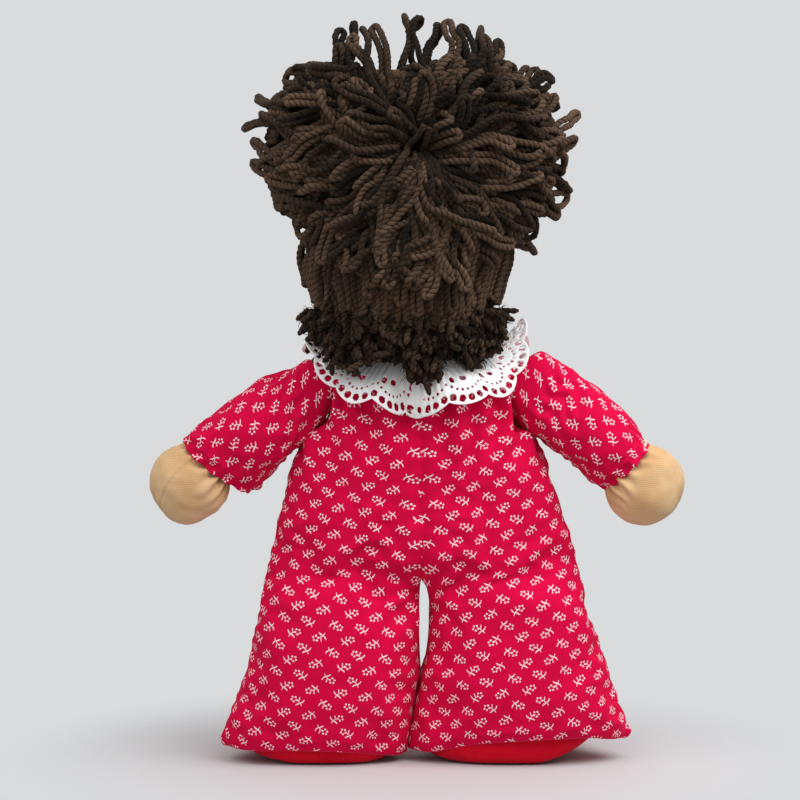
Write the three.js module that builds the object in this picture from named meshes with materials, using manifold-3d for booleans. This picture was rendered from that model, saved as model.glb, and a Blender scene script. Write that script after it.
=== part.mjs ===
// A stuffed cloth doll: calico romper, lace collar, wool-yarn hair, jersey hands and red slippers.
// Millimetres, +Z up. The doll faces -Y, its left side is +X, and it stands on its soles at z = 0.
import * as THREE from "three";
import { mergeVertices } from "three/addons/utils/BufferGeometryUtils.js";
import Module from "manifold-3d";

const wasm = await Module();
wasm.setup();

// Cloth, thread and fits
const clothWall = 1.0;
const seatGap = 0.3;
const turningGap = 0.5;
const tieRadius = 0.7;
const ballEase = 0.9;

// Torso, measured to the outside of the cloth
const hipAxisHeight = 89;
const crotchBelowHip = 5;
const hipHalfWidth = 73.5;
const hipHalfDepth = 24;
const waistAboveHip = 25;
const waistHalfWidth = 67;
const waistHalfDepth = 26.5;
const armpitAboveHip = 55;
const armpitHalfWidth = 58;
const armpitHalfDepth = 26.5;
const chestAboveHip = 79;
const chestHalfWidth = 52.5;
const chestHalfDepth = 24.5;
const shoulderSlopeAboveHip = 93;
const shoulderSlopeHalfWidth = 44;
const shoulderSlopeHalfDepth = 20.5;
const neckEdgeAboveHip = 99;
const neckEdgeHalfWidth = 24;
const neckEdgeHalfDepth = 18.8;
const torsoSquareness = 2.4;

// Legs: pillow-shaped, hinged on the hip line
const legSwingForward = 80;
const legSwingBack = 15;
const legInnerEdge = 0.6;
const legOuterEdgeAtHip = 75;
const legOuterEdgeAtHem = 95;
const legHemHeight = 10;
const legHemHalfDepth = 26;
const legStraightDepthRun = 30;
const legSquareness = 2.4;
const seamEdgeRadius = 0.6;
const hipFoldSideMargin = 6;

// Slippers
const shoeSetIn = 1;
const shoeHalfWidth = 40;
const shoeLength = 91.4;
const heelSetIn = 0.6;
const shoeHeight = 27;
const shoeSquareness = 2.6;
const shoeTopRoundness = 2.8;
const soleThickness = 1.8;
const soleInset = 1.2;
const soleTuck = 0.97;
const shoeMouthHalfWidth = 26;
const shoeMouthHalfDepth = 12;

// Arms: each turns on a ball of stuffing in the armhole
const shoulderPivotX = 52;
const shoulderPivotAboveHip = 81;
const armDroop = 30;
const armLower = 5;
const armRaise = 60;
const armSwing = 40;
const armBallRadius = 20;
const armWaistRadius = 19.2;
const armWaistAt = 30;
const armBendAt = 45;
const waistTiltShare = 0.3;
const bendTiltShare = 0.8;
const cuffRadius = 18;
const wristAt = 55.5;
const armRootHoleRadius = 6;

// Hands: jersey balls on a gathered root that sits in the cuff
const handDroop = 18;
const cuffEase = 1;
const handCentreAt = 16;
const handLength = 35;
const handWidth = 36;
const handThickness = 33;
const handNeckCutShare = 0.75;

// Neck and head
const neckPivotAboveEdge = 4;
const neckBallRadius = 16;
const neckHoleRadius = 7;
const neckTieDrop = 3;
const bindingEase = 1.3;
const bindingWidth = 2.2;
const bindingHeight = 3;
const headLean = 6;
const headWidth = 85;
const headDepth = 88;
const headHeight = 92;
const headBottomAboveNeck = 8;
const headSquareness = 2.2;
const noseRadius = 4.2;
const noseSink = 1.6;
const noseBelowCentre = 6.5;
const eyeRadius = 3.4;
const eyeSpacing = 33;
const eyeRise = 2;
const mouthWidth = 11;
const mouthHeight = 3;
const mouthDrop = 17;
const featureProud = 0.9;

// Yarn hair
const hairHalfWidth = 71;
const hairHalfDepth = 63;
const hairHalfHeight = 61;
const hairCentreAboveHead = 40;
const hairCentreY = 2;
const hairLoops = 15;
const hairLoopDepth = 0.075;
const hairLocks = 6;
const hairLockDepth = 0.04;
const loopSlant = 3;
const lockSlant = 5;
const crownHollow = 0.3;
const crownHollowSpread = 0.42;
const crownRingRadius = 6;
const faceHalfWidth = 36;
const hairlineAboveHead = 18;
const faceOpeningBackY = -6;
const backHairThickness = 9;
const backHairAboveChin = 7;
const napeHalfAngle = 64;
const napeLength = 19;
const napeSideRise = 15;
const napeSpread = 46;
const napeThickness = 12;
const napeTufts = 11;
const napeTuftDrop = 4;
const fringeThickness = 7;
const fringeLength = 9;
const fringeHalfAngle = 52;
const fringeTufts = 7;
const fringeTuftDrop = 3;

// Lace collar
const laceWidth = 28;
const laceThickness = 0.8;
const collarWaves = 12;
const collarWaveHeight = 3.2;
const collarRiseAtSides = 13;
const collarFallAtBack = 64;
const collarFallPower = 1.1;
const collarOpening = 1.2;

// Places that follow from the sizes above
const neckEdgeHeight = hipAxisHeight + neckEdgeAboveHip;
const shoulderPivotHeight = hipAxisHeight + shoulderPivotAboveHip;
const neckPivotHeight = neckEdgeHeight + neckPivotAboveEdge;
const headCentreHeight = neckPivotHeight + headBottomAboveNeck + headHeight / 2;
const handRootRadius = cuffRadius - clothWall - cuffEase;
const handNeckCutAt = handNeckCutShare * handRootRadius;
const bindingInnerRadius = neckBallRadius + 2 * (seatGap + tieRadius) + bindingEase;
const collarInnerRadius = bindingInnerRadius + bindingWidth + seatGap + laceThickness / 2;
const collarHeight = neckEdgeHeight + bindingHeight;
const hairCentreHeight = headCentreHeight + hairCentreAboveHead;
const hairlineHeight = headCentreHeight + hairlineAboveHead;
const backHairBottom = headCentreHeight - headHeight / 2 + backHairAboveChin;
const shoeCentreX = (legInnerEdge + legOuterEdgeAtHem) / 2 - shoeSetIn;
const shoeHeelY = legHemHalfDepth - heelSetIn;
const shoeToeY = shoeHeelY - shoeLength;

// Materials
const clothOf = (name, color, roughness = 0.9) =>
  new THREE.MeshStandardMaterial({ name, color, roughness, metalness: 0 });
const calico = clothOf("red_calico", 0xd4103f);
const twill = clothOf("red_twill", 0xc8141e);
const jersey = clothOf("tan_jersey", 0xd9b98c);
const wadding = clothOf("wool_wadding", 0xe6dfcf, 0.95);
const yarn = clothOf("brown_yarn", 0x3b2a22, 0.95);
const lace = clothOf("white_lace", 0xf4f2f2, 0.85);
const thread = clothOf("linen_thread", 0xd8cbb0, 0.8);
const eyeThread = clothOf("dark_embroidery", 0x2a2320, 0.7);
const mouthThread = clothOf("rose_embroidery", 0xb5404a, 0.7);

// Where a rounded end closes, the last ring stands this share of a step from the pole.
const poleStep = 0.35;

const radians = THREE.MathUtils.degToRad;
const lerp = THREE.MathUtils.lerp;

// A closed BufferGeometry as a solid for joins and cuts.
function solidFrom(geometry) {
  const bare = geometry.index ? geometry.toNonIndexed() : geometry.clone();
  bare.deleteAttribute("normal");
  bare.deleteAttribute("uv");
  const merged = mergeVertices(bare, 1e-4);
  return new wasm.Manifold(
    new wasm.Mesh({
      numProp: 3,
      vertProperties: merged.attributes.position.array,
      triVerts: new Uint32Array(merged.index.array),
    }),
  );
}

// A solid as a flat-shaded BufferGeometry.
function geometryFrom(solid) {
  const { vertProperties, triVerts, numProp } = solid.getMesh();
  const points = [];
  for (let i = 0; i < vertProperties.length; i += numProp) {
    points.push(vertProperties[i], vertProperties[i + 1], vertProperties[i + 2]);
  }
  const geometry = new THREE.BufferGeometry();
  geometry.setAttribute("position", new THREE.Float32BufferAttribute(points, 3));
  geometry.setIndex([...triVerts]);
  geometry.computeVertexNormals();
  return geometry;
}

function part(name, solid, material) {
  const mesh = new THREE.Mesh(geometryFrom(solid), material);
  mesh.name = name;
  return mesh;
}

// A closed solid through rings of points, each ring with as many points, capped at both ends.
function loft(rings) {
  const count = rings[0].length;
  const points = rings.flat();
  const faces = [];
  for (let i = 0; i + 1 < rings.length; i++) {
    for (let k = 0; k < count; k++) {
      const a = i * count + k;
      const b = i * count + ((k + 1) % count);
      faces.push(a, b, b + count, a, b + count, a + count);
    }
  }
  const ends = [
    [0, true],
    [rings.length - 1, false],
  ];
  for (const [ring, first] of ends) {
    const centre = new THREE.Vector3();
    rings[ring].forEach((p) => centre.addScaledVector(p, 1 / count));
    points.push(centre);
    for (let k = 0; k < count; k++) {
      const a = ring * count + k;
      const b = ring * count + ((k + 1) % count);
      faces.push(...(first ? [points.length - 1, b, a] : [points.length - 1, a, b]));
    }
  }
  const geometry = new THREE.BufferGeometry().setFromPoints(points);
  geometry.setIndex(faces);
  const solid = solidFrom(geometry);
  if (solid.volume() > 0) return solid;
  geometry.setIndex(faces.reverse());
  return solidFrom(geometry);
}

// Points round a superellipse: squareness 2 is an ellipse, more is squarer.
function superellipse(halfX, halfY, squareness, count) {
  const power = 2 / squareness;
  return Array.from({ length: count }, (_, k) => {
    const angle = (2 * Math.PI * k) / count;
    const c = Math.cos(angle);
    const s = Math.sin(angle);
    const x = halfX * Math.sign(c) * Math.abs(c) ** power;
    const y = halfY * Math.sign(s) * Math.abs(s) ** power;
    return new THREE.Vector2(x, y);
  });
}

const ballSegments = 18;
const ballRings = 12;
const featureSegments = 10;
const featureRings = 6;

function ball(radius, x, y, z, segments = ballSegments, rings = ballRings) {
  return solidFrom(new THREE.SphereGeometry(radius, segments, rings).translate(x, y, z));
}

function box(minX, maxX, minY, maxY, minZ, maxZ) {
  const geometry = new THREE.BoxGeometry(maxX - minX, maxY - minY, maxZ - minZ);
  geometry.translate((minX + maxX) / 2, (minY + maxY) / 2, (minZ + maxZ) / 2);
  return solidFrom(geometry);
}

const rodSides = 12;

function rod(radius, from, to) {
  const along = new THREE.Vector3().subVectors(to, from);
  const geometry = new THREE.CylinderGeometry(radius, radius, along.length(), rodSides);
  const turn = new THREE.Quaternion().setFromUnitVectors(
    new THREE.Vector3(0, 1, 0),
    along.clone().normalize(),
  );
  geometry.applyQuaternion(turn);
  geometry.translate(...from.clone().addScaledVector(along, 0.5).toArray());
  return solidFrom(geometry);
}

// A wide slab that keeps what lies in a range of x, y or z.
const far = 400;
const between = (axis, low, high) => {
  const span = { x: [-far, far], y: [-far, far], z: [-far, far], [axis]: [low, high] };
  return box(...span.x, ...span.y, ...span.z);
};

// Torso: superellipse sections stacked on a smooth curve through the named stations.
const torsoStations = [
  [hipHalfWidth, hipHalfDepth, -crotchBelowHip],
  [waistHalfWidth, waistHalfDepth, waistAboveHip],
  [armpitHalfWidth, armpitHalfDepth, armpitAboveHip],
  [chestHalfWidth, chestHalfDepth, chestAboveHip],
  [shoulderSlopeHalfWidth, shoulderSlopeHalfDepth, shoulderSlopeAboveHip],
  [neckEdgeHalfWidth, neckEdgeHalfDepth, neckEdgeAboveHip],
];
const torsoRings = 9;
const torsoRingPoints = 20;

function torsoForm(grow, deeper = 0) {
  const curve = new THREE.CatmullRomCurve3(
    torsoStations.map(([w, d, z]) => new THREE.Vector3(w, d, hipAxisHeight + z)),
    false,
    "centripetal",
  );
  const rings = curve.getSpacedPoints(torsoRings).map((p, i) => {
    const end = i === 0 ? -grow - deeper : i === torsoRings ? grow : 0;
    const section = superellipse(p.x + grow, p.y + grow, torsoSquareness, torsoRingPoints);
    return section.map((q) => new THREE.Vector3(q.x, q.y, p.z + end));
  });
  return loft(rings);
}

// Leg: across the leg the depth is a superellipse, over the hip a round about the hinge axis.
const legStations = 10;
const legArcSteps = 6;
const leastHalfDepth = 0.1;
const legSideSteps = 2;
const legReachForSwing = waistHalfDepth + seatGap;
const legLength = hipAxisHeight - legHemHeight;
const downShare = (z) => (hipAxisHeight - z) / legLength;
const legOuterEdge = (z) => lerp(legOuterEdgeAtHip, legOuterEdgeAtHem, Math.max(0, downShare(z)));

function legHalfDepth(z) {
  const run = (hipAxisHeight - legStraightDepthRun - z) / (legLength - legStraightDepthRun);
  const share = THREE.MathUtils.smoothstep(run, 0, 1);
  return lerp(hipHalfDepth, legHemHalfDepth, share);
}

function pillow(u) {
  const side = Math.min(1, Math.abs(2 * u - 1));
  return (1 - side ** legSquareness) ** (1 / legSquareness);
}

const stationShare = (i) => (1 - Math.cos((Math.PI * i) / legStations)) / 2;

function legForm(grow, bottom) {
  const rings = Array.from({ length: legStations + 1 }, (_, i) => {
    const u = stationShare(i);
    const at = (y, z) => {
      const inner = legInnerEdge - grow;
      return new THREE.Vector3(lerp(inner, legOuterEdge(z) + grow, u), y, z);
    };
    const half = (z) => Math.max(legHalfDepth(z) * pillow(u), seamEdgeRadius) + grow;
    const ring = [];
    for (let k = 0; k <= legArcSteps; k++) {
      const angle = (Math.PI * k) / legArcSteps;
      const r = Math.max(half(hipAxisHeight), leastHalfDepth);
      ring.push(at(r * Math.cos(angle), hipAxisHeight + r * Math.sin(angle)));
    }
    for (let k = 1; k <= legSideSteps; k++) {
      const z = lerp(hipAxisHeight, bottom, k / legSideSteps);
      ring.push(at(-Math.max(half(z), leastHalfDepth), z));
    }
    for (let k = legSideSteps; k >= 1; k--) {
      const z = lerp(hipAxisHeight, bottom, k / legSideSteps);
      ring.push(at(Math.max(half(z), leastHalfDepth), z));
    }
    return ring;
  });
  return loft(rings);
}

// The space that the top of a leg passes through, from its back limit to its front limit.
function legSweep(grow) {
  const widest = legOuterEdge(hipAxisHeight - legReachForSwing);
  const first = radians(legSwingBack);
  const last = Math.PI - radians(legSwingForward);
  const reach = 2 * waistHalfDepth;
  const deepest = (x) =>
    Math.max(
      pillow((x - legInnerEdge) / (legOuterEdgeAtHip - legInnerEdge)),
      pillow((x - legInnerEdge) / (widest - legInnerEdge)),
    );
  const rings = Array.from({ length: legStations + 1 }, (_, i) => {
    const x = lerp(legInnerEdge, widest, stationShare(i));
    const side = i === 0 ? -grow : i === legStations ? grow : 0;
    const r = Math.max(hipHalfDepth * deepest(x), seamEdgeRadius) + grow;
    const at = (y, z) => new THREE.Vector3(x + side, y, hipAxisHeight + z);
    const ring = [];
    const back = [r * Math.cos(first), r * Math.sin(first)];
    ring.push(at(back[0] + reach * Math.sin(first), back[1] - reach * Math.cos(first)));
    for (let k = 0; k <= legArcSteps; k++) {
      const angle = lerp(first, last, k / legArcSteps);
      ring.push(at(r * Math.cos(angle), r * Math.sin(angle)));
    }
    const front = [r * Math.cos(last), r * Math.sin(last)];
    const slope = radians(legSwingForward);
    ring.push(at(front[0] - reach * Math.sin(slope), front[1] - reach * Math.cos(slope)));
    ring.push(at(front[0] - reach * Math.sin(slope), -reach));
    return ring;
  });
  return loft(rings);
}

// Slipper: a low dome on a superellipse outline, flat below.
const shoeCentreY = (shoeHeelY + shoeToeY) / 2;
const shoeHalfLength = (shoeHeelY - shoeToeY) / 2;
const shoeRings = 5;
const shoeRingPoints = 18;

function shoeForm(grow, bottom) {
  const rings = [];
  const ringAt = (share, z) => {
    const halfX = (shoeHalfWidth + grow) * share;
    const halfY = (shoeHalfLength + grow) * share;
    const section = superellipse(halfX, halfY, shoeSquareness, shoeRingPoints);
    rings.push(section.map((q) => new THREE.Vector3(shoeCentreX + q.x, shoeCentreY + q.y, z)));
  };
  ringAt(soleTuck, bottom);
  for (let k = 1; k <= shoeRings; k++) {
    const angle = (Math.PI / 2) * (k / (shoeRings + poleStep));
    const share = Math.cos(angle) ** (2 / shoeTopRoundness);
    const height = (shoeHeight + grow) * Math.sin(angle) ** (2 / shoeTopRoundness);
    if (height > bottom + seatGap) ringAt(share, height);
  }
  return loft(rings);
}

// Sleeve, along local +X from the ball in the armhole to the tilted cuff.
const sleeveRingPoints = 14;
const armBallSteps = 4;

// A ring of the sleeve; tilt leans its top forward along the arm.
function armRing(along, radius, tilt = 0) {
  return Array.from({ length: sleeveRingPoints }, (_, k) => {
    const angle = (2 * Math.PI * k) / sleeveRingPoints;
    const z = radius * Math.sin(angle);
    return new THREE.Vector3(along + z * Math.tan(tilt), radius * Math.cos(angle), z);
  });
}

// Rings of the inner half of the ball in the armhole.
function armBallRings(radius) {
  return Array.from({ length: armBallSteps }, (_, k) => {
    const angle = (Math.PI / 2) * ((k + poleStep) / armBallSteps);
    return armRing(-radius * Math.cos(angle), radius * Math.sin(angle));
  });
}

function armBall(radius) {
  const inner = armBallRings(radius);
  const outer = inner.map((ring) => ring.map((p) => new THREE.Vector3(-p.x, p.y, p.z)));
  return loft([...inner, armRing(0, radius), ...outer.reverse()]);
}

function sleeveForm(grow, endShift) {
  const droop = radians(handDroop);
  const rings = [
    ...armBallRings(armBallRadius + grow),
    armRing(0, armBallRadius + grow),
    armRing(armWaistAt, armWaistRadius + grow, droop * waistTiltShare),
    armRing(armBendAt, armWaistRadius + grow, droop * bendTiltShare),
    armRing(wristAt, cuffRadius + grow, droop),
  ];
  if (endShift > 0) rings.push(armRing(wristAt + endShift, cuffRadius + grow, droop));
  return loft(rings);
}

// The space beyond the ball that an arm passes through as it swings forward and back, in the
// arm's own frame: at each level a sector that stands off by the arm's half width there.
const armSweepLevels = 8;

function armSwingSpace(grow) {
  const radius = armBallRadius + grow;
  const reach = 3 * armBallRadius;
  const c = Math.cos(radians(armSwing));
  const s = Math.sin(radians(armSwing));
  const rings = Array.from({ length: armSweepLevels + 1 }, (_, i) => {
    const level = (Math.PI * (i + poleStep)) / (armSweepLevels + 2 * poleStep);
    const half = radius * Math.sin(level);
    const z = -radius * Math.cos(level);
    return [
      new THREE.Vector3(reach * c - half * s, reach * s + half * c, z),
      new THREE.Vector3(-half * s, half * c, z),
      new THREE.Vector3(-half * s, -half * c, z),
      new THREE.Vector3(reach * c - half * s, -reach * s - half * c, z),
    ];
  });
  return loft(rings);
}

// The same space with the arm lowered and with it raised, and the ball in the armhole.
function armSweep(grow) {
  const swing = geometryFrom(armSwingSpace(grow));
  const lowered = solidFrom(swing.clone().rotateY(radians(armLower)));
  const raised = solidFrom(swing.clone().rotateY(radians(-armRaise)));
  return ball(armBallRadius + ballEase, 0, 0, 0).add(lowered).add(raised);
}

// Hand, along local +X from the middle of the cuff: a ball that grows out of a rounder root.
const handRings = 9;
const handRingPoints = 14;

function handForm(grow) {
  const root = handRootRadius + grow;
  const half = handLength / 2 + grow;
  const tip = handCentreAt + half;
  const rings = Array.from({ length: handRings + 1 }, (_, i) => {
    const share = (1 - Math.cos((Math.PI * (i + poleStep)) / (handRings + 2 * poleStep))) / 2;
    const along = lerp(-root, tip, share);
    const rootLevel = Math.sqrt(Math.max(0, root ** 2 - along ** 2));
    const palmLevel = Math.sqrt(Math.max(0, 1 - ((along - handCentreAt) / half) ** 2));
    const halfY = Math.max(rootLevel, palmLevel * (handThickness / 2 + grow));
    const halfZ = Math.max(rootLevel, palmLevel * (handWidth / 2 + grow));
    const section = superellipse(halfY, halfZ, 2, handRingPoints);
    return section.map((q) => new THREE.Vector3(along, q.x, q.y));
  });
  return loft(rings);
}

// Head: sections stacked from chin to crown, with the ball of the neck below.
const headRings = 9;
const headRingPoints = 18;

function skullForm(grow) {
  const rings = [];
  for (let k = 0; k <= headRings; k++) {
    const angle = Math.PI * ((k + poleStep) / (headRings + 2 * poleStep)) - Math.PI / 2;
    const share = Math.cos(angle) ** (2 / headSquareness);
    const rise = Math.sign(Math.sin(angle)) * Math.abs(Math.sin(angle)) ** (2 / headSquareness);
    const z = headCentreHeight + (headHeight / 2 + grow) * rise;
    const half = [(headWidth / 2 + grow) * share, (headDepth / 2 + grow) * share];
    const section = superellipse(half[0], half[1], 2, headRingPoints);
    rings.push(section.map((q) => new THREE.Vector3(headLean + q.x, q.y, z)));
  }
  return loft(rings);
}

const neckBall = (grow) => ball(neckBallRadius + grow, 0, 0, neckPivotHeight);

// How far in front of the head's middle plane its surface lies, at a place on the face.
function faceFront(x, z) {
  const across = Math.abs((x - headLean) / (headWidth / 2)) ** 2;
  const up = Math.abs((z - headCentreHeight) / (headHeight / 2)) ** headSquareness;
  const level = (1 - up) ** (1 / headSquareness);
  return -(headDepth / 2) * level * Math.sqrt(Math.max(0, 1 - across / level ** 2));
}

// Hair mass: an ellipsoid about the crown axis (+Y) whose outline swells in loops.
const hairRings = 10;
const hairRingPoints = 4 * hairLoops;

function crownReach(polar, around, grow) {
  const edge = Math.sin(polar) ** 2;
  const loops = hairLoopDepth * edge * Math.cos(hairLoops * around + loopSlant * polar);
  const locks = hairLockDepth * Math.sin(hairLocks * around + lockSlant * polar);
  const hollow = crownHollow * Math.exp(-((polar / crownHollowSpread) ** 2));
  const direction = new THREE.Vector3(
    Math.sin(polar) * Math.cos(around),
    Math.cos(polar),
    Math.sin(polar) * Math.sin(around),
  );
  const scaled = new THREE.Vector3(
    direction.x / hairHalfWidth,
    direction.y / hairHalfDepth,
    direction.z / hairHalfHeight,
  );
  const reach = (1 + loops + locks * edge - hollow) / scaled.length() + grow;
  return direction.multiplyScalar(reach);
}

function crownForm(grow) {
  const centre = new THREE.Vector3(headLean, hairCentreY, hairCentreHeight);
  const rings = [];
  for (let i = 0; i <= hairRings; i++) {
    const polar = Math.PI * ((i + poleStep) / (hairRings + 2 * poleStep));
    const ring = Array.from({ length: hairRingPoints }, (_, k) =>
      crownReach(polar, (2 * Math.PI * k) / hairRingPoints, grow).add(centre),
    );
    rings.push(ring);
  }
  return loft(rings);
}

// Collar: a gathered strip that falls at the back and front and stands out over the shoulders.
const collarSteps = 5 * collarWaves;
const collarRows = 2;

function collarPoint(around, across, side) {
  const fall = Math.abs(Math.sin(around)) ** collarFallPower;
  const slope = radians(lerp(collarRiseAtSides, -collarFallAtBack, fall));
  const wave = collarWaveHeight * across * Math.sin(collarWaves * around);
  const off = wave + collarWaveHeight * across + (side * laceThickness) / 2;
  const r = collarInnerRadius + across * laceWidth * Math.cos(slope) - off * Math.sin(slope);
  const z = collarHeight + across * laceWidth * Math.sin(slope) + off * Math.cos(slope);
  return new THREE.Vector3(r * Math.cos(around), r * Math.sin(around), z);
}

function collarForm() {
  const slit = collarOpening / collarInnerRadius / 2;
  const start = Math.PI / 2 + slit;
  const turn = 2 * Math.PI - 2 * slit;
  const rings = Array.from({ length: collarSteps + 1 }, (_, i) => {
    const around = start + (turn * i) / collarSteps;
    const upper = Array.from({ length: collarRows + 1 }, (_, k) =>
      collarPoint(around, k / collarRows, 1),
    );
    const lower = Array.from({ length: collarRows + 1 }, (_, k) =>
      collarPoint(around, 1 - k / collarRows, -1),
    );
    return [...upper, ...lower];
  });
  return loft(rings);
}

// A ring of wound thread, flat in the XY plane, about the origin.
const threadSides = 4;
const ringSteps = 18;
const bindingSides = 6;

function threadRing(radius, thickness) {
  return new THREE.TorusGeometry(radius, thickness, threadSides, ringSteps);
}

// Torso pieces
const armHole = geometryFrom(armSweep(turningGap));
armHole.rotateY(radians(armDroop)).translate(shoulderPivotX, 0, shoulderPivotHeight);
const leftCuts = solidFrom(armHole).add(legSweep(turningGap));
const neckSocket = neckBall(turningGap);

const torsoOuter = torsoForm(0);
const torsoInner = torsoForm(-clothWall, 3 * clothWall);
const leftHalf = between("x", seatGap / 2, far);
const backHalf = between("y", seatGap / 2, far);
const frontHalf = between("y", -far, -seatGap / 2);

const torsoCover = torsoOuter
  .intersect(leftHalf)
  .subtract(torsoInner)
  .subtract(leftCuts)
  .subtract(neckSocket);

// A solid with its mirror image across x = 0.
function bothSides(left) {
  const right = geometryFrom(left).scale(-1, 1, 1);
  right.setIndex([...right.index.array].reverse());
  return left.add(solidFrom(right));
}

const torsoStuffing = torsoForm(-clothWall - seatGap)
  .subtract(bothSides(leftCuts))
  .subtract(neckSocket);

const root = new THREE.Group();
const torso = new THREE.Group();
root.add(torso);
torso.add(part("torso_stuffing", torsoStuffing, wadding));

// Leg pieces, in the left leg's place
const shoeOuter = shoeForm(0, 0);
const shoeClear = shoeForm(seatGap, -seatGap);
const legOuter = legForm(0, legHemHeight).subtract(shoeClear);
const trouserCover = legOuter.subtract(legForm(-clothWall, legHemHeight - clothWall));
const legStuffing = legForm(-clothWall - seatGap, legHemHeight + clothWall + seatGap).subtract(
  shoeClear,
);

const hipFold = legSweep(0)
  .intersect(torsoForm(0))
  .intersect(between("y", -far, -2 * seatGap))
  .intersect(between("x", hipFoldSideMargin, hipHalfWidth - hipFoldSideMargin))
  .intersect(between("z", hipAxisHeight, far))
  .subtract(legForm(seatGap, legHemHeight));

// Slipper pieces
const shoeMouthSides = 16;
const legMouthX = (legInnerEdge + legOuterEdgeAtHem) / 2;
const shoeMouth = new THREE.CylinderGeometry(1, 1, shoeHeight, shoeMouthSides);
shoeMouth.rotateX(Math.PI / 2).scale(shoeMouthHalfWidth, shoeMouthHalfDepth, 1);
shoeMouth.translate(legMouthX, 0, shoeHeight);
const soleTop = between("z", soleThickness + seatGap, far);
const shoeUpper = shoeOuter
  .intersect(soleTop)
  .subtract(shoeForm(-clothWall, -clothWall))
  .subtract(solidFrom(shoeMouth));
const shoeStuffing = shoeForm(-clothWall - seatGap, 0).intersect(soleTop);

function soleSolid() {
  const halfX = shoeHalfWidth - soleInset;
  const halfY = shoeHalfLength - soleInset;
  const outline = superellipse(halfX, halfY, shoeSquareness, shoeRingPoints);
  const at = (z) =>
    outline.map((q) => new THREE.Vector3(shoeCentreX + q.x, shoeCentreY + q.y, z));
  return loft([at(0), at(soleThickness)]);
}

// Arm pieces, in the arm's own frame: the shoulder pivot at the origin, the arm along +X
const sleeve = sleeveForm(0, 0)
  .subtract(sleeveForm(-clothWall, 2 * clothWall))
  .subtract(
    rod(
      armRootHoleRadius,
      new THREE.Vector3(-2 * armBallRadius, 0, 0),
      new THREE.Vector3(-armBallRadius / 2, 0, 0),
    ),
  );
const shoulderStuffing = armBall(armBallRadius - clothWall - ballEase);
const wristHollow = geometryFrom(armBall(handRootRadius + ballEase));
wristHollow.rotateY(radians(handDroop)).translate(wristAt, 0, 0);
const armStuffing = sleeveForm(-clothWall - seatGap, 0)
  .intersect(between("x", 0, far))
  .subtract(armBall(armBallRadius - clothWall))
  .subtract(solidFrom(wristHollow));

// Hand pieces, in the hand's own frame: the wrist pivot at the origin, the hand along +X
const handNeck = between("x", -handNeckCutAt, far);
const handSkin = handForm(0).intersect(handNeck).subtract(handForm(-clothWall));
const handStuffing = handForm(-clothWall - seatGap).intersect(handNeck);
const wristTieAt = handNeckCutAt + seatGap + tieRadius;
const wristTieReach = Math.sqrt(handRootRadius ** 2 - (wristTieAt + tieRadius) ** 2);
const wristTie = solidFrom(
  threadRing(wristTieReach - tieRadius, tieRadius)
    .rotateY(Math.PI / 2)
    .translate(-wristTieAt, 0, 0),
);

function armGroup(side) {
  const arm = new THREE.Group();
  arm.position.set(shoulderPivotX, 0, shoulderPivotHeight);
  arm.rotation.y = radians(armDroop);
  arm.add(part("shoulder_stuffing_" + side, shoulderStuffing, wadding));
  arm.add(part("sleeve_" + side, sleeve, calico));
  arm.add(part("arm_stuffing_" + side, armStuffing, wadding));
  const hand = new THREE.Group();
  hand.position.set(wristAt, 0, 0);
  hand.rotation.y = radians(handDroop);
  hand.add(part("hand_skin_" + side, handSkin, jersey));
  hand.add(part("hand_stuffing_" + side, handStuffing, wadding));
  hand.add(part("wrist_tie_" + side, wristTie, thread));
  arm.add(hand);
  return arm;
}

function sideGroup(side) {
  const half = new THREE.Group();
  half.add(part("romper_back_" + side, torsoCover.intersect(backHalf), calico));
  half.add(part("romper_front_" + side, torsoCover.intersect(frontHalf), calico));
  half.add(part("hip_fold_" + side, hipFold, calico));
  half.add(part("trouser_back_" + side, trouserCover.intersect(backHalf), calico));
  half.add(part("trouser_front_" + side, trouserCover.intersect(frontHalf), calico));
  half.add(part("leg_stuffing_" + side, legStuffing, wadding));
  half.add(part("shoe_upper_" + side, shoeUpper, twill));
  half.add(part("shoe_stuffing_" + side, shoeStuffing, wadding));
  half.add(part("sole_" + side, soleSolid(), twill));
  half.add(armGroup(side));
  return half;
}

root.add(sideGroup("left"));
const rightSide = sideGroup("right");
rightSide.scale.x = -1;
root.add(rightSide);

// Neck and collar
const binding = new THREE.TorusGeometry(
  bindingInnerRadius + bindingWidth / 2,
  bindingWidth / 2,
  bindingSides,
  ringSteps,
).scale(1, 1, bindingHeight / bindingWidth);
binding.translate(0, 0, neckEdgeHeight + bindingHeight / 2 + seatGap);
torso.add(part("neck_binding", solidFrom(binding), calico));
torso.add(part("collar_lace", collarForm(), lace));

const tieMajor = Math.sqrt((neckBallRadius + seatGap + tieRadius) ** 2 - neckTieDrop ** 2);
const neckTie = threadRing(tieMajor, tieRadius);
neckTie.translate(0, 0, neckPivotHeight - neckTieDrop);
root.add(part("neck_tie", solidFrom(neckTie), thread));
root.add(part("neck_stuffing", neckBall(-clothWall - turningGap), wadding));

// Head
const head = new THREE.Group();
root.add(head);
const noseHeight = headCentreHeight - noseBelowCentre;
const nose = ball(
  noseRadius,
  headLean,
  faceFront(headLean, noseHeight) + noseSink,
  noseHeight,
  featureSegments,
  featureRings,
);
const headSkin = skullForm(0)
  .add(neckBall(0))
  .add(nose)
  .subtract(skullForm(-clothWall).add(neckBall(-clothWall)))
  .subtract(
    rod(
      neckHoleRadius,
      new THREE.Vector3(0, 0, neckPivotHeight - 2 * neckBallRadius),
      new THREE.Vector3(0, 0, neckPivotHeight - neckBallRadius / 2),
    ),
  );
head.add(part("head_skin", headSkin, jersey));
head.add(
  part(
    "head_stuffing",
    skullForm(-clothWall - seatGap).subtract(neckBall(-clothWall)),
    wadding,
  ),
);

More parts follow.
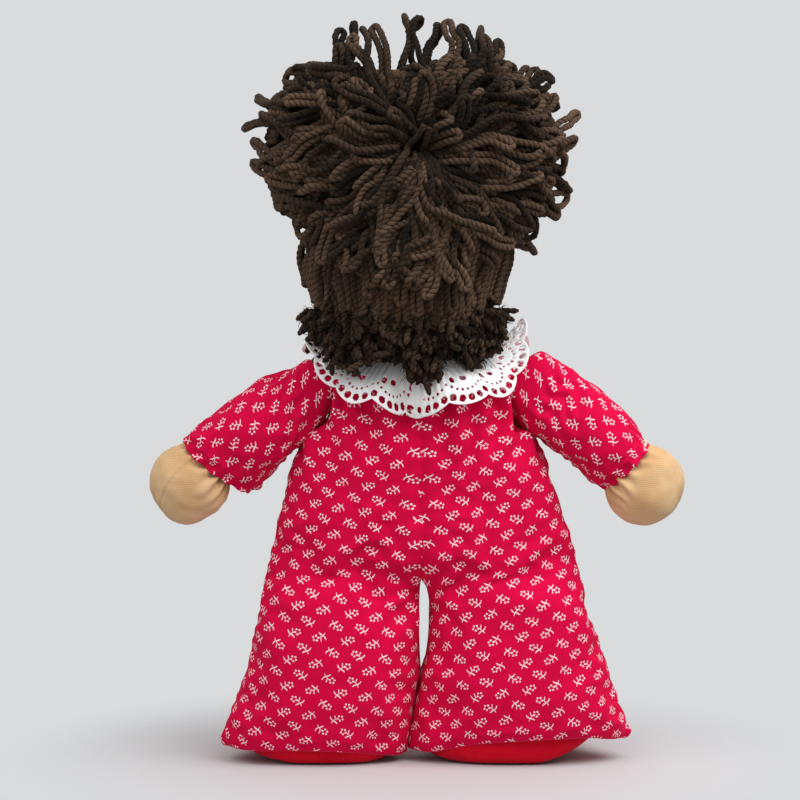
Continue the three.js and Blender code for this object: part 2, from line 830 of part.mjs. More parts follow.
// An embroidered feature: a low dome on the face, cut to the skin.
const skinClear = skullForm(seatGap);

function feature(x, z, halfWidth, halfHeight) {
  const dome = new THREE.SphereGeometry(1, featureSegments, featureRings);
  dome.scale(halfWidth, 2 * featureProud, halfHeight);
  dome.translate(x, faceFront(x, z) - seatGap, z);
  return solidFrom(dome).subtract(skinClear);
}

const eyeHeight = headCentreHeight + eyeRise;
for (const [side, sign] of [
  ["left", 1],
  ["right", -1],
]) {
  const x = headLean + (sign * eyeSpacing) / 2;
  head.add(part("eye_" + side, feature(x, eyeHeight, eyeRadius, eyeRadius), eyeThread));
}
const mouthAt = headCentreHeight - mouthDrop;
head.add(
  part("mouth", feature(headLean, mouthAt, mouthWidth / 2, mouthHeight / 2), mouthThread),
);

// Hair
const faceOpening = box(
  headLean - faceHalfWidth,
  headLean + faceHalfWidth,
  -far,
  faceOpeningBackY,
  0,
  hairlineHeight,
);
const crown = crownForm(0).subtract(skinClear).subtract(faceOpening);
head.add(part("hair_crown", crown, yarn));

const backHair = skullForm(backHairThickness)
  .subtract(skinClear)
  .subtract(neckBall(seatGap))
  .subtract(crownForm(seatGap))
  .intersect(between("y", 0, far))
  .intersect(between("z", backHairBottom, hairCentreHeight));
head.add(part("hair_back", backHair, yarn));

// A curtain of tufts round the head's axis, with a toothed lower edge.
function tuftCurtain({ middle, halfAngle, inner, outer, top, bottom, tufts, drop }) {
  const steps = 4 * tufts;
  const rings = Array.from({ length: steps + 1 }, (_, i) => {
    const away = lerp(-halfAngle, halfAngle, i / steps);
    const around = radians(middle + away);
    const tooth = drop * Math.abs(Math.sin((Math.PI * tufts * i) / steps));
    const at = (r, z) =>
      new THREE.Vector3(headLean + r * Math.cos(around), r * Math.sin(around), z);
    const low = bottom(away) - tooth;
    return [at(inner.top, top), at(inner.low, low), at(outer.low, low), at(outer.top, top)];
  });
  return loft(rings);
}

const nape = tuftCurtain({
  middle: 90,
  halfAngle: napeHalfAngle,
  inner: { top: neckBallRadius + headLean, low: napeSpread - napeThickness },
  outer: { top: headDepth / 2 + backHairThickness / 2, low: napeSpread },
  top: backHairBottom - seatGap,
  bottom: (away) => backHairBottom - napeLength + napeSideRise * Math.sin(radians(away)) ** 2,
  tufts: napeTufts,
  drop: napeTuftDrop,
})
  .subtract(skinClear)
  .subtract(neckBall(seatGap));
head.add(part("hair_nape", nape, yarn));

const fringeReach = headDepth / 2 + fringeThickness;
const crownClear = crownForm(seatGap).subtract(
  box(
    headLean - faceHalfWidth + seatGap,
    headLean + faceHalfWidth - seatGap,
    -far,
    faceOpeningBackY - seatGap,
    0,
    hairlineHeight - seatGap,
  ),
);
const fringe = tuftCurtain({
  middle: 270,
  halfAngle: fringeHalfAngle,
  inner: { top: headDepth / 4, low: headDepth / 4 },
  outer: { top: fringeReach, low: fringeReach },
  top: hairlineHeight + 2 * fringeThickness,
  bottom: () => hairlineHeight - fringeLength,
  tufts: fringeTufts,
  drop: fringeTuftDrop,
})
  .intersect(skullForm(fringeThickness))
  .subtract(skinClear)
  .subtract(crownClear);
head.add(part("hair_fringe", fringe, yarn));

const crownRing = threadRing(crownRingRadius, tieRadius).rotateX(Math.PI / 2);
const ringPolar = crownRingRadius / (hairHalfDepth * (1 - crownHollow));
const crownTop = crownReach(ringPolar, 0, 0).y;
crownRing.translate(
  headLean,
  hairCentreY + crownTop + tieRadius + 3 * seatGap,
  hairCentreHeight,
);
head.add(part("hair_tie_thread", solidFrom(crownRing), thread));

// The origin is under the middle of the doll.
const bounds = new THREE.Box3().setFromObject(root);
const middle = bounds.getCenter(new THREE.Vector3());
root.position.set(-middle.x, -middle.y, 0);

export default root;
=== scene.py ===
"""A cloth rag doll seen from behind: calico romper, eyelet-lace collar, wool-yarn hair, jersey hands, red slippers.

Lengths are millimetres until a mesh is filled, where they become metres. X points to the doll's left, Y to its
back and Z up, as in the frame.
"""

import logging
import math
from dataclasses import dataclass
from enum import Enum
from typing import Any, Sequence

import bpy
import numpy as np
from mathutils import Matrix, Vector


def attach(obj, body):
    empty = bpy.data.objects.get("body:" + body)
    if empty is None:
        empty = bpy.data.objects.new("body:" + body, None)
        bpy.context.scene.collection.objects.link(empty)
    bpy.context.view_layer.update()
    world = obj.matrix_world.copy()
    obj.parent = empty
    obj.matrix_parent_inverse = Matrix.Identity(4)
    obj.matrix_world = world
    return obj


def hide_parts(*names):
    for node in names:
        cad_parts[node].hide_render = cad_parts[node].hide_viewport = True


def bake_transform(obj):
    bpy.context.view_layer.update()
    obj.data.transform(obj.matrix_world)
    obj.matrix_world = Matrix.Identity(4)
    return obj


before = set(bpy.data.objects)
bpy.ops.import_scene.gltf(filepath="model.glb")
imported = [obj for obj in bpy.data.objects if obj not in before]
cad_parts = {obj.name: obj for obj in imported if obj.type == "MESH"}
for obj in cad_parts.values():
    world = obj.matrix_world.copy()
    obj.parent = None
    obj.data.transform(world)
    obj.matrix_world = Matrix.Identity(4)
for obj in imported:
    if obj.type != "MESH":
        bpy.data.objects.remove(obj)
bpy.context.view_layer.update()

LOG = logging.getLogger("rag_doll")
Array = np.ndarray
Material = bpy.types.Material
Object = bpy.types.Object
Socket = bpy.types.NodeSocket
Tree = bpy.types.NodeTree
MM = 0.001
TURN = 2 * math.pi
MID_Y = 4.7735  # the doll's middle plane, front to back
STUFFING_FRAMES = 20  # steps of the cloth simulation until the stuffed cloth is at rest
YARN_TWIST = 5.4  # how long a whole turn of the plied yarn is
THIN = 0.3  # below this share of the yarn's thickness, an end of it is a single fibre


class Side(Enum):
    """The doll's left or right; the value is the sign of its X."""

    LEFT = 1
    RIGHT = -1

    @property
    def word(self) -> str:
        """The side's name in node and body names."""
        return self.name.lower()


# Colour and nodes


def linear(colour: str) -> tuple[float, float, float, float]:
    """Turns an sRGB hex colour into linear RGBA.

    Args:
        colour: six hex digits after a hash sign.

    Returns:
        The linear colour with alpha 1.
    """
    parts = [int(colour[i : i + 2], 16) / 255 for i in (1, 3, 5)]
    red, green, blue = [c / 12.92 if c <= 0.04045 else ((c + 0.055) / 1.055) ** 2.4 for c in parts]
    return red, green, blue, 1.0


NODE_MODES = {"Mix": "data_type", "MapRange": "interpolation_type", "TexNoise": "noise_dimensions"}


def add_node(
    tree: Tree, kind: str, values: Sequence[Any] | dict[Any, Any] = (), **settings: Any
) -> Socket | None:
    """Adds a node to a tree with its settings and what its sockets hold or are linked to.

    Args:
        tree: the node tree.
        kind: the node's type name after ShaderNode and, after a dot, its operation, data type or dimensions.
        values: for its inputs, in order or by name: a number, a tuple, or an output socket to link.
        settings: the node's other properties.

    Returns:
        Its first output in use, through whose node the others are reached.
    """
    name, _, mode = kind.partition(".")
    node = tree.nodes.new("ShaderNode" + name)
    if mode:
        settings[NODE_MODES.get(name, "operation")] = mode
    for key, value in settings.items():
        setattr(node, key, value)
    pairs = values.items() if isinstance(values, dict) else enumerate(values)
    for key, value in pairs:
        if isinstance(value, Socket):
            tree.links.new(value, node.inputs[key])
        else:
            node.inputs[key].default_value = value
    return next((socket for socket in node.outputs if socket.enabled), None)


@dataclass(frozen=True)
class Finish:
    """What every finish shares: a Principled shader whose colour and bump are procedural."""

    name: str

    def begin(self, **sockets: Any) -> tuple[Material, Tree, bpy.types.Node]:
        """Starts a material.

        Args:
            sockets: values of the shader's own sockets; an underscore stands for a space.

        Returns:
            The material, its node tree and its shader.
        """
        material = bpy.data.materials.new(self.name)
        material.use_nodes = True
        tree = material.node_tree
        shader = next(n for n in tree.nodes if n.type == "BSDF_PRINCIPLED")
        for key, value in sockets.items():
            shader.inputs[key.replace("_", " ")].default_value = value
        return material, tree, shader

    @staticmethod
    def relief(shader: bpy.types.Node, height: Socket, depth: float, share: float) -> None:
        """Gives the shader a bump.

        Args:
            shader: the material's shader.
            height: the height from 0 to 1.
            depth: what a height of 1 is, in millimetres.
            share: how strongly it shows, up to 1.
        """
        tree = shader.id_data
        bump = add_node(tree, "Bump", {"Height": height, "Distance": depth * MM, "Strength": share})
        tree.links.new(bump, shader.inputs["Normal"])


@dataclass(frozen=True)
class Calico(Finish):
    """Plain-woven printed cotton: matt, a little fluffy at grazing angles, with a small white sprig."""

    name: str = "printed_cotton_calico"
    ground: str = "#DA0646"
    wear_and_groove_shade: str = "#C6023A"
    sprig: str = "#F9E2E8"
    fluff: str = "#FF8FA6"
    repeat: float = 12.2  # the sprig's cell
    thread: float = 0.5  # threads are about 0.3 mm, drawn coarser so that they show
    centre: tuple[float, float] = (1.3, 0.9)
    flower: tuple[float, float] = (3.19, 1.62)
    petal_ring: float = 1.15
    petal: float = 0.41
    strokes: tuple[tuple[float, ...], ...] = (
        (1.95, 1.55, 0.0, 0.0, 0.12, 0.16),
        (0.0, 0.0, -0.55, -1.2, 0.16, 0.11),
        (0.0, 0.0, 1.15, -0.35, 0.13, 0.28),
        (1.15, -0.35, 2.0, -1.05, 0.28, 0.18),
        (0.0, 0.0, -0.9, 0.75, 0.12, 0.24),
        (-0.9, 0.75, -1.38, 1.7, 0.24, 0.14),
        (0.95, 1.05, 0.62, 2.5, 0.12, 0.21),
    )  # from x, y to x, y with both half widths

    def sprigs(self, tree: Tree, cloth: Socket) -> Socket:
        """Draws the print: a half-drop lattice of one sprig that is mirrored and turned from place to place.

        A point's nearer lattice is the one whose centre is inside the diamond round it. The sprig is a union of
        five petals on a ring and tapering strokes, each a distance less a half width.

        Args:
            tree: the material's tree.
            cloth: the point on the cloth, in metres.

        Returns:
            The print's share of the colour, from 0 to 1.
        """
        half = (0.5, 0.5, 0.0)
        wobble = add_node(tree, "TexNoise.2D", {"Vector": cloth, "Scale": 900.0, "Detail": 1.0}).node.outputs["Color"]
        shift = add_node(tree, "VectorMath.MULTIPLY_ADD", [wobble, (2.4e-4,) * 3, cloth])
        cell = add_node(tree, "VectorMath.SCALE", {0: shift, "Scale": 1 / (self.repeat * MM)})
        moved = add_node(tree, "VectorMath.ADD", [cell, half])
        parts = [add_node(tree, "VectorMath.FRACTION", [at]) for at in (moved, cell)]
        local_a, local_b = [add_node(tree, "VectorMath.SUBTRACT", [part, half]) for part in parts]
        size = add_node(tree, "VectorMath.ABSOLUTE", [local_a])
        reach = add_node(tree, "VectorMath.DOT_PRODUCT", [size, (1.0, 1.0, 0.0)])
        first = add_node(tree, "Math.LESS_THAN", [reach, 0.5])
        place_a, place_b = [add_node(tree, "VectorMath.FLOOR", [at]) for at in (moved, cell)]
        local = add_node(tree, "Mix.VECTOR", {0: first, 4: local_b, 5: local_a})
        place = add_node(tree, "Mix.VECTOR", {0: first, 4: place_b, 5: place_a})
        column = add_node(tree, "SeparateXYZ", [place])
        odd = add_node(tree, "Math.PINGPONG", [column, 1.0])
        turn = add_node(tree, "Math.MULTIPLY_ADD", [odd, -2.0, 1.0])
        flip = add_node(tree, "Math.MULTIPLY_ADD", [first, -2.0, 1.0])
        upright = add_node(tree, "Math.MULTIPLY", [turn, flip])
        signs = add_node(tree, "CombineXYZ", [turn, upright, 0.0])
        facing = add_node(tree, "VectorMath.MULTIPLY", [local, signs])
        spot = add_node(tree, "VectorMath.MULTIPLY_ADD", [facing, (self.repeat,) * 3, (*self.centre, 0.0)])
        edge = self.petals(tree, spot)
        for ax, ay, bx, by, wide_a, wide_b in self.strokes:
            run = (bx - ax, by - ay, 0.0)
            span = run[0] ** 2 + run[1] ** 2
            off = add_node(tree, "VectorMath.SUBTRACT", [spot, (ax, ay, 0.0)])
            along = add_node(tree, "VectorMath.DOT_PRODUCT", [off, (run[0] / span, run[1] / span, 0.0)])
            share = add_node(tree, "Clamp", [along, 0.0, 1.0])
            foot = add_node(tree, "VectorMath.SCALE", {0: run, "Scale": share})
            gap = add_node(tree, "VectorMath.DISTANCE", [off, foot])
            width = add_node(tree, "Math.MULTIPLY_ADD", [share, wide_b - wide_a, wide_a])
            inside = add_node(tree, "Math.SUBTRACT", [gap, width])
            edge = add_node(tree, "Math.MINIMUM", [edge, inside])
        return add_node(tree, "MapRange.SMOOTHSTEP", [edge, -0.12, 0.14, 1.0, 0.0])

    def petals(self, tree: Tree, spot: Socket) -> Socket:
        """Five dots on a ring: the angle is folded into one fifth of the turn, where the one dot is measured.

        Args:
            tree: the material's tree.
            spot: the point in the sprig, in millimetres.

        Returns:
            The distance to the dots' edge, negative inside.
        """
        off = add_node(tree, "VectorMath.SUBTRACT", [spot, (*self.flower, 0.0)])
        across, up, _ = add_node(tree, "SeparateXYZ", [off]).node.outputs
        angle = add_node(tree, "Math.ARCTAN2", [up, across])
        turns = add_node(tree, "Math.MULTIPLY_ADD", [angle, 5 / (TURN), 10.75])
        fifth = add_node(tree, "Math.FRACT", [turns])
        folded = add_node(tree, "Math.MULTIPLY_ADD", [fifth, TURN / 5, -math.pi / 5])
        radius = add_node(tree, "VectorMath.LENGTH", [off])
        cosine, sine = [add_node(tree, "Math." + kind, [folded]) for kind in ("COSINE", "SINE")]
        way = add_node(tree, "CombineXYZ", [cosine, sine, 0.0])
        point = add_node(tree, "VectorMath.SCALE", {0: way, "Scale": radius})
        gap = add_node(tree, "VectorMath.DISTANCE", [point, (self.petal_ring, 0.0, 0.0)])
        return add_node(tree, "Math.SUBTRACT", [gap, self.petal])

    def material(self) -> Material:
        """Makes the printed cotton.

        Returns:
            The material, which reads the piece's own cloth map.
        """
        material, tree, shader = self.begin(
            Roughness=0.9, Specular_IOR_Level=0.08,
            Sheen_Weight=0.04, Sheen_Roughness=0.5, Sheen_Tint=linear(self.fluff),
        )
        cloth = add_node(tree, "UVMap", uv_map="cloth")
        mottle = add_node(tree, "TexNoise.2D", {"Vector": cloth, "Scale": 70.0, "Detail": 4.0})
        slub = add_node(tree, "TexNoise.2D", {"Vector": cloth, "Scale": 900.0, "Detail": 2.0})
        tone = add_node(tree, "Math.MULTIPLY_ADD", [mottle, 0.7, 0.0])
        both = add_node(tree, "Math.MULTIPLY_ADD", [slub, 0.5, tone])
        ground = add_node(tree, "Mix.RGBA", {0: both, 6: linear(self.ground), 7: linear(self.wear_and_groove_shade)})
        printed = add_node(tree, "Mix.RGBA", {0: self.sprigs(tree, cloth), 6: ground, 7: linear(self.sprig)})
        tree.links.new(printed, shader.inputs["Base Color"])
        phase = add_node(tree, "VectorMath.SCALE", {0: cloth, "Scale": TURN / (self.thread * MM)})
        warp, weft, _ = add_node(tree, "SeparateXYZ", [phase]).node.outputs
        waves = [add_node(tree, "Math.SINE", [way]) for way in (warp, weft)]
        weave = add_node(tree, "Math.MULTIPLY", waves)
        height = add_node(tree, "Math.MULTIPLY_ADD", [weave, 0.3, slub])
        self.relief(shader, height, 0.12, 0.5)
        return material


@dataclass(frozen=True)
class Ribbed(Finish):
    """Cotton whose surface shows fine parallel ribs: jersey's wales or a twill's diagonals."""

    name: str = "cotton_jersey"
    light: str = "#E4C49A"
    dark: str = "#C0925F"
    pink: str = "#DD7F72"
    rib: float = 0.9
    slant: float = 0.6
    depth: float = 0.1
    sheen: float = 0.12
    blush: tuple[tuple[float, float, float], ...] = ()

    def material(self) -> Material:
        """Makes the ribbed cotton.

        Returns:
            The material, which reads the piece's own cloth map, and Object coordinates for blushed cheeks.
        """
        material, tree, shader = self.begin(
            Roughness=0.88, Sheen_Weight=self.sheen, Sheen_Roughness=0.5, Specular_IOR_Level=0.08
        )
        cloth = add_node(tree, "UVMap", uv_map="cloth")
        laid = add_node(tree, "Mapping", {"Vector": cloth, "Rotation": (0.0, 0.0, self.slant)})
        warp = add_node(tree, "TexNoise.2D", {"Vector": cloth, "Scale": 350.0, "Detail": 3.0})
        phase = add_node(tree, "VectorMath.SCALE", {0: laid, "Scale": TURN / (self.rib * MM)})
        across = add_node(tree, "SeparateXYZ", [phase])
        bent = add_node(tree, "Math.MULTIPLY_ADD", [warp, 2.5, across])
        ribs = add_node(tree, "Math.SINE", [bent])
        mottle = add_node(tree, "TexNoise.2D", {"Vector": cloth, "Scale": 60.0, "Detail": 5.0})
        tone = add_node(tree, "Math.MULTIPLY_ADD", [ribs, 0.16, mottle])
        colour = add_node(tree, "Mix.RGBA", {0: tone, 6: linear(self.light), 7: linear(self.dark)})
        where = add_node(tree, "TexCoord").node.outputs["Object"]
        for cheek in self.blush:
            gap = add_node(tree, "VectorMath.DISTANCE", [where, tuple(c * MM for c in cheek)])
            share = add_node(tree, "MapRange.SMOOTHSTEP", [gap, 0.004, 0.013, 0.42, 0.0])
            colour = add_node(tree, "Mix.RGBA", {0: share, 6: colour, 7: linear(self.pink)})
        tree.links.new(colour, shader.inputs["Base Color"])
        height = add_node(tree, "Math.MULTIPLY_ADD", [ribs, 0.4, warp])
        self.relief(shader, height, self.depth, 0.6)
        return material


@dataclass(frozen=True)
class Cotton(Finish):
    """Plain cotton thread or lawn, such as white embroidered lace, linen thread or face embroidery."""

    name: str = "white_cotton_lace"
    colour: str = "#FDFCFC"
    shade: str = "#F4F1F2"
    grain: float = 0.45
    depth: float = 0.08
    through: float = 0.0

    def material(self) -> Material:
        """Makes the cotton.

        Returns:
            The material, which reads Object coordinates.
        """
        material, tree, shader = self.begin(
            Roughness=0.82, Sheen_Weight=0.2, Sheen_Roughness=0.4, Specular_IOR_Level=0.3,
            Subsurface_Weight=self.through, Subsurface_Radius=(0.0012, 0.0011, 0.001),
        )
        where = add_node(tree, "TexCoord").node.outputs["Object"]
        threads = add_node(tree, "TexNoise", {"Vector": where, "Scale": 1 / (self.grain * MM), "Detail": 2.0})
        tone = add_node(tree, "TexNoise", {"Vector": where, "Scale": 90.0, "Detail": 3.0})
        colour = add_node(tree, "Mix.RGBA", {0: tone, 6: linear(self.colour), 7: linear(self.shade)})
        tree.links.new(colour, shader.inputs["Base Color"])
        self.relief(shader, threads, self.depth, 0.5)
        return material


@dataclass(frozen=True)
class Wool(Finish):
    """Plied wool yarn: dull and fluffy, two plies with a groove between them painted dark as shade, each strand of
    its own shade.
    """

    name: str = "brown_wool_yarn"
    # The deep colour is painted shade in the groove between the plies.
    deep: str = "#070403"
    dark: str = "#0F0A07"
    light: str = "#5C4738"
    fluff: str = "#8A7460"
    twist: float = YARN_TWIST
    fibre: float = 0.35  # fibres are finer, drawn as streaks of this width

    def material(self) -> Material:
        """Makes the yarn. A ply's height is the size of the cosine of the angle round the strand less its twist.

        Returns:
            The material, which reads the strand's own map and its shade attribute.
        """
        material, tree, shader = self.begin(
            Roughness=0.94, Specular_IOR_Level=0.1,
            Sheen_Weight=0.14, Sheen_Roughness=0.6, Sheen_Tint=linear(self.fluff),
        )
        strand = add_node(tree, "UVMap", uv_map="cloth")
        wave = add_node(tree, "VectorMath.DOT_PRODUCT", [strand, (-TURN / (self.twist * MM), 1 / MM, 0.0)])
        swing = add_node(tree, "Math.COSINE", [wave])
        ply = add_node(tree, "Math.ABSOLUTE", [swing])
        streak = add_node(tree, "Mapping", {"Vector": strand, "Scale": (0.5 / MM, 1.2 / (self.fibre * MM), 1.0)})
        fibres = add_node(tree, "TexNoise.2D", {"Vector": streak, "Scale": 1.0, "Detail": 3.0})
        # The shade attribute holds each strand's own random tone, plus a painted highlight at the loops' ends and
        # painted shade on the upper crown loops and on the mat under the loops.
        shade = add_node(tree, "Attribute", attribute_name="shade").node.outputs["Fac"]
        tone = add_node(tree, "Math.MULTIPLY_ADD", [fibres, 0.6, shade])
        share = add_node(tree, "MapRange", [tone, 0.05, 0.95, 0.0, 1.0])
        colour = add_node(tree, "Mix.RGBA", {0: share, 6: linear(self.dark), 7: linear(self.light)})
        # Painted shade: where the plies meet in their groove, the colour is mixed towards the deep colour.
        groove = add_node(tree, "MapRange.SMOOTHSTEP", [ply, 0.0, 0.6, 0.72, 0.0])
        wear_and_groove_shade = add_node(tree, "Mix.RGBA", {0: groove, 6: colour, 7: linear(self.deep)})
        tree.links.new(wear_and_groove_shade, shader.inputs["Base Color"])
        root = add_node(tree, "Math.SQRT", [ply])
        height = add_node(tree, "Math.MULTIPLY_ADD", [fibres, 0.5, root])
        self.relief(shader, height, 0.7, 0.9)
        return material


# Shapes


def smooth(low: float, high: float, value: Array) -> Array:
    """Goes from 0 at low to 1 at high along 3t^2 - 2t^3."""
    t = np.clip((value - low) / (high - low), 0, 1)
    return t * t * (3 - 2 * t)


def unit(vectors: Array) -> Array:
    """Each vector divided by its length."""
    return vectors / np.maximum(np.linalg.norm(vectors, axis=-1, keepdims=True), 1e-9)


def bell(value: Array, width: float) -> Array:
    """exp(-(value / width)^2)."""
    return np.exp(-((value / width) ** 2))


def power(value: Array, exponent: float | Array) -> Array:
    """The value's size raised to the exponent, with its sign kept."""
    return np.sign(value) * np.abs(value) ** exponent


def ripple(points: Array, length: float, seed: int, terms: int = 8) -> Array:
    """A smooth random height: the sum of sine waves of random direction and phase over the root of their number.

    Args:
        points: (..., k) coordinates in millimetres.
        length: the waves' usual length in millimetres.
        seed: what the directions are drawn from.
        terms: how many waves.

    Returns:
        Heights of about -1 to 1.
    """
    rng = np.random.default_rng(seed)
    ways = unit(rng.normal(size=(terms, points.shape[-1]))) * (
        TURN / (length * rng.uniform(0.7, 1.4, (terms, 1)))
    )
    return np.sin(points @ ways.T + rng.uniform(0, TURN, terms)).sum(-1) / math.sqrt(terms)


def wander(line: Array, size: float, length: float, seeds: Sequence[int]) -> Array:
    """The points moved by as much as size, along each axis by its own ripple."""
    return line + size * np.stack([ripple(line, length, seed) for seed in seeds], -1)


def arc_lengths(points: Array) -> Array:
    """How far along its row each point of (rows, points, k) lies: the running sum of the steps before it."""
    step = np.linalg.norm(np.diff(points, axis=1), axis=-1)
    return np.concatenate([np.zeros((len(points), 1)), np.cumsum(step, 1)], 1)


def turned(u: Array, v: Array, angle: float) -> Array:
    """Places (..., 2) on the cloth, turned by an angle as its grain is."""
    return np.stack([u * math.cos(angle) - v * math.sin(angle), u * math.sin(angle) + v * math.cos(angle)], -1)


def nested(rings: Array, centre: Array, steps: Sequence[tuple[float, float]], way: Array) -> list[Array]:
    """Copies of a ring that close in on its centre, each by a share, and move along the way by a distance.

    Args:
        rings: the ring (1, points, 3).
        centre: its centre (1, 1, 3).
        steps: each copy's share and distance.
        way: the direction.

    Returns:
        The copies.
    """
    return [rings + (centre - rings) * share + way * far for share, far in steps]


def full_turn(count: int) -> Array:
    """Evenly spaced angles of one whole turn, as one row."""
    return np.linspace(0, TURN, count, endpoint=False)[None]


def scattered(count: int) -> Array:
    """Numbers from 0 to 1, each a golden section of the range past the one before."""
    return (np.arange(count) * 0.618034) % 1


def settled(points: Array, side: Side) -> Array:
    """Turns points that were worked out for the doll's left into its frame: mirrored to the side, on its middle."""
    return points * np.array([side.value, 1, 1]) + np.array([0, MID_Y, 0])


def cells(grid: Array) -> Array:
    """The four corner values of each cell of a grid (..., rows, columns, k), in turning order."""
    corners = [grid[..., :-1, :-1, :], grid[..., :-1, 1:, :], grid[..., 1:, 1:, :], grid[..., 1:, :-1, :]]
    return np.stack(corners, -2).reshape(-1, 4, grid.shape[-1])


def closed_faces(shape: Sequence[int]) -> Array:
    """Quads of tubes whose points are numbered (..., rings, points round); the last point joins the first."""
    number = np.arange(int(np.prod(shape))).reshape(*shape)
    return cells(np.concatenate([number, number[..., :1]], -1)[..., None])[..., 0]


def outward(points: Array, faces: Sequence[Array]) -> bool:
    """Tells whether closed faces point outwards: the sum of their signed cones from the origin is positive.

    Args:
        points: (n, 3) coordinates.
        faces: arrays of point numbers, one row a face.

    Returns:
        True if the volume is positive.
    """
    total = 0.0
    for group in faces:
        for i in range(1, group.shape[1] - 1):
            a, b, c = points[group[:, 0]], points[group[:, i]], points[group[:, i + 1]]
            total += float((a * np.cross(b, c)).sum())
    return total > 0


def make_piece(
    name: str,
    points: Array,
    faces: Sequence[Array],
    cloth: Sequence[Array | None] = (),
    shade: Array | None = None,
    closed: bool = True,
) -> Object:
    """Puts whole arrays into a new mesh object at the origin, with smooth faces.

    Args:
        name: the piece's name.
        points: (n, 3) places in millimetres.
        faces: arrays of point numbers, one row a face.
        cloth: for each of them the (faces, corners, 2) places on the cloth in millimetres, or None.
        shade: a number for each point that the yarn's finish reads.
        closed: whether its faces may be turned to point outwards by its volume.

    Returns:
        The object.
    """
    points = np.asarray(points, float).reshape(-1, 3)
    if closed and not outward(points, faces):
        faces = [group[:, ::-1] for group in faces]
        cloth = [None if c is None else c[:, ::-1] for c in cloth]
    corners = np.concatenate([group.ravel() for group in faces]).astype(np.int32)
    sizes = np.concatenate([np.full(len(group), group.shape[1]) for group in faces])
    mesh = bpy.data.meshes.new(name)
    mesh.vertices.add(len(points))
    mesh.vertices.foreach_set("co", (points * MM).astype(np.float32).ravel())
    mesh.loops.add(len(corners))
    mesh.loops.foreach_set("vertex_index", corners)
    mesh.polygons.add(len(sizes))
    mesh.polygons.foreach_set("loop_start", (np.cumsum(sizes) - sizes).astype(np.int32))
    mesh.update(calc_edges=True)
    places = [
        np.zeros((group.size, 2)) if i >= len(cloth) or cloth[i] is None else cloth[i].reshape(-1, 2)
        for i, group in enumerate(faces)
    ]
    layer = mesh.uv_layers.new(name="cloth")
    layer.data.foreach_set("uv", (np.concatenate(places) * MM).astype(np.float32).ravel())
    if shade is not None:
        mesh.attributes.new("shade", "FLOAT", "POINT").data.foreach_set("value", shade.astype(np.float32).ravel())
    mesh.shade_smooth()
    piece = bpy.data.objects.new(name, mesh)
    bpy.context.scene.collection.objects.link(piece)
    return piece


def make_tube(
    name: str, rings: Array, cloth: Array | None = None, shade: Array | None = None
) -> Object:
    """Makes closed tubes of rings (..., rings, points, 3) with a polygon at each end.

    Args:
        name: the piece's name.
        rings: the points.
        cloth: (..., rings, points + 1, 2) places on the cloth.
        shade: a number for each point.

    Returns:
        The object.
    """
    shape = rings.shape[:-1]
    number = np.arange(int(np.prod(shape))).reshape(*shape)
    faces = [
        closed_faces(shape),
        number[..., 0, ::-1].reshape(-1, shape[-1]),
        number[..., -1, :].reshape(-1, shape[-1]),
    ]
    return make_piece(name, rings, faces, [None if cloth is None else cells(cloth)], shade)


def push(rings: Array, heights: Array) -> Array:
    """Moves a closed grid's points along its own normals, the cross product of its two differences."""
    round_it = np.roll(rings, -1, axis=1) - np.roll(rings, 1, axis=1)
    down = np.gradient(rings, axis=0)
    normal = unit(np.cross(round_it, down))
    if ((rings - rings.mean((0, 1))) * normal).sum() < 0:
        normal = -normal
    return rings + normal * heights[..., None]


def subdivide(piece: Object, levels: int = 1) -> None:
    """Adds a Subdivision Surface whose levels match in view and render."""
    modifier = piece.modifiers.new("smooth", "SUBSURF")
    modifier.levels = modifier.render_levels = levels


def stuff(piece: Object, pinned: Array, growth: float, cap: float) -> None:
    """Swells and wrinkles a cloth skin with the cloth simulation, then keeps the result as its mesh.

    Args:
        piece: the closed skin.
        pinned: for each point 1 where a seam holds it and 0 where it is free.
        growth: how much larger the cloth was cut than its form, as a share.
        cap: the furthest that a point may move, in millimetres.
    """
    mesh = piece.data
    start = np.zeros(len(mesh.vertices) * 3, np.float32)
    mesh.vertices.foreach_get("co", start)
    group = piece.vertex_groups.new(name="seams")
    for weight in np.unique(np.round(pinned, 1)):
        numbers = np.flatnonzero(np.round(pinned, 1) == weight)
        if weight > 0:
            group.add([int(n) for n in numbers], float(weight), "REPLACE")
    modifier = piece.modifiers.new("stuffing", "CLOTH")
    cloth = modifier.settings
    cloth.quality = 6
    cloth.mass = 0.15
    cloth.tension_stiffness = cloth.compression_stiffness = 12
    cloth.shear_stiffness = 6
    cloth.bending_stiffness = 0.35
    cloth.use_pressure = True
    cloth.uniform_pressure_force = 4.0
    cloth.vertex_group_mass = "seams"
    cloth.shrink_min = cloth.shrink_max = -growth
    cloth.effector_weights.gravity = 0
    modifier.point_cache.frame_start, modifier.point_cache.frame_end = 1, STUFFING_FRAMES
    scene = bpy.context.scene
    for number in range(1, STUFFING_FRAMES + 1):
        scene.frame_set(number)
    shown = piece.evaluated_get(bpy.context.evaluated_depsgraph_get()).to_mesh()
    end = np.zeros_like(start)
    shown.vertices.foreach_get("co", end)
    piece.evaluated_get(bpy.context.evaluated_depsgraph_get()).to_mesh_clear()
    piece.modifiers.remove(modifier)
    piece.vertex_groups.clear()
    move = (end - start).reshape(-1, 3)
    far = np.linalg.norm(move, axis=1, keepdims=True)
    move *= np.where(far > 0, np.tanh(far / (cap * MM)) * cap * MM / np.maximum(far, 1e-9), 0)
    mesh.vertices.foreach_set("co", (start + move.ravel()).astype(np.float32))
    mesh.update()
    scene.frame_set(1)
    LOG.info("%s: moved %.1f mm at most", piece.name, float(far.max()) * 1000)


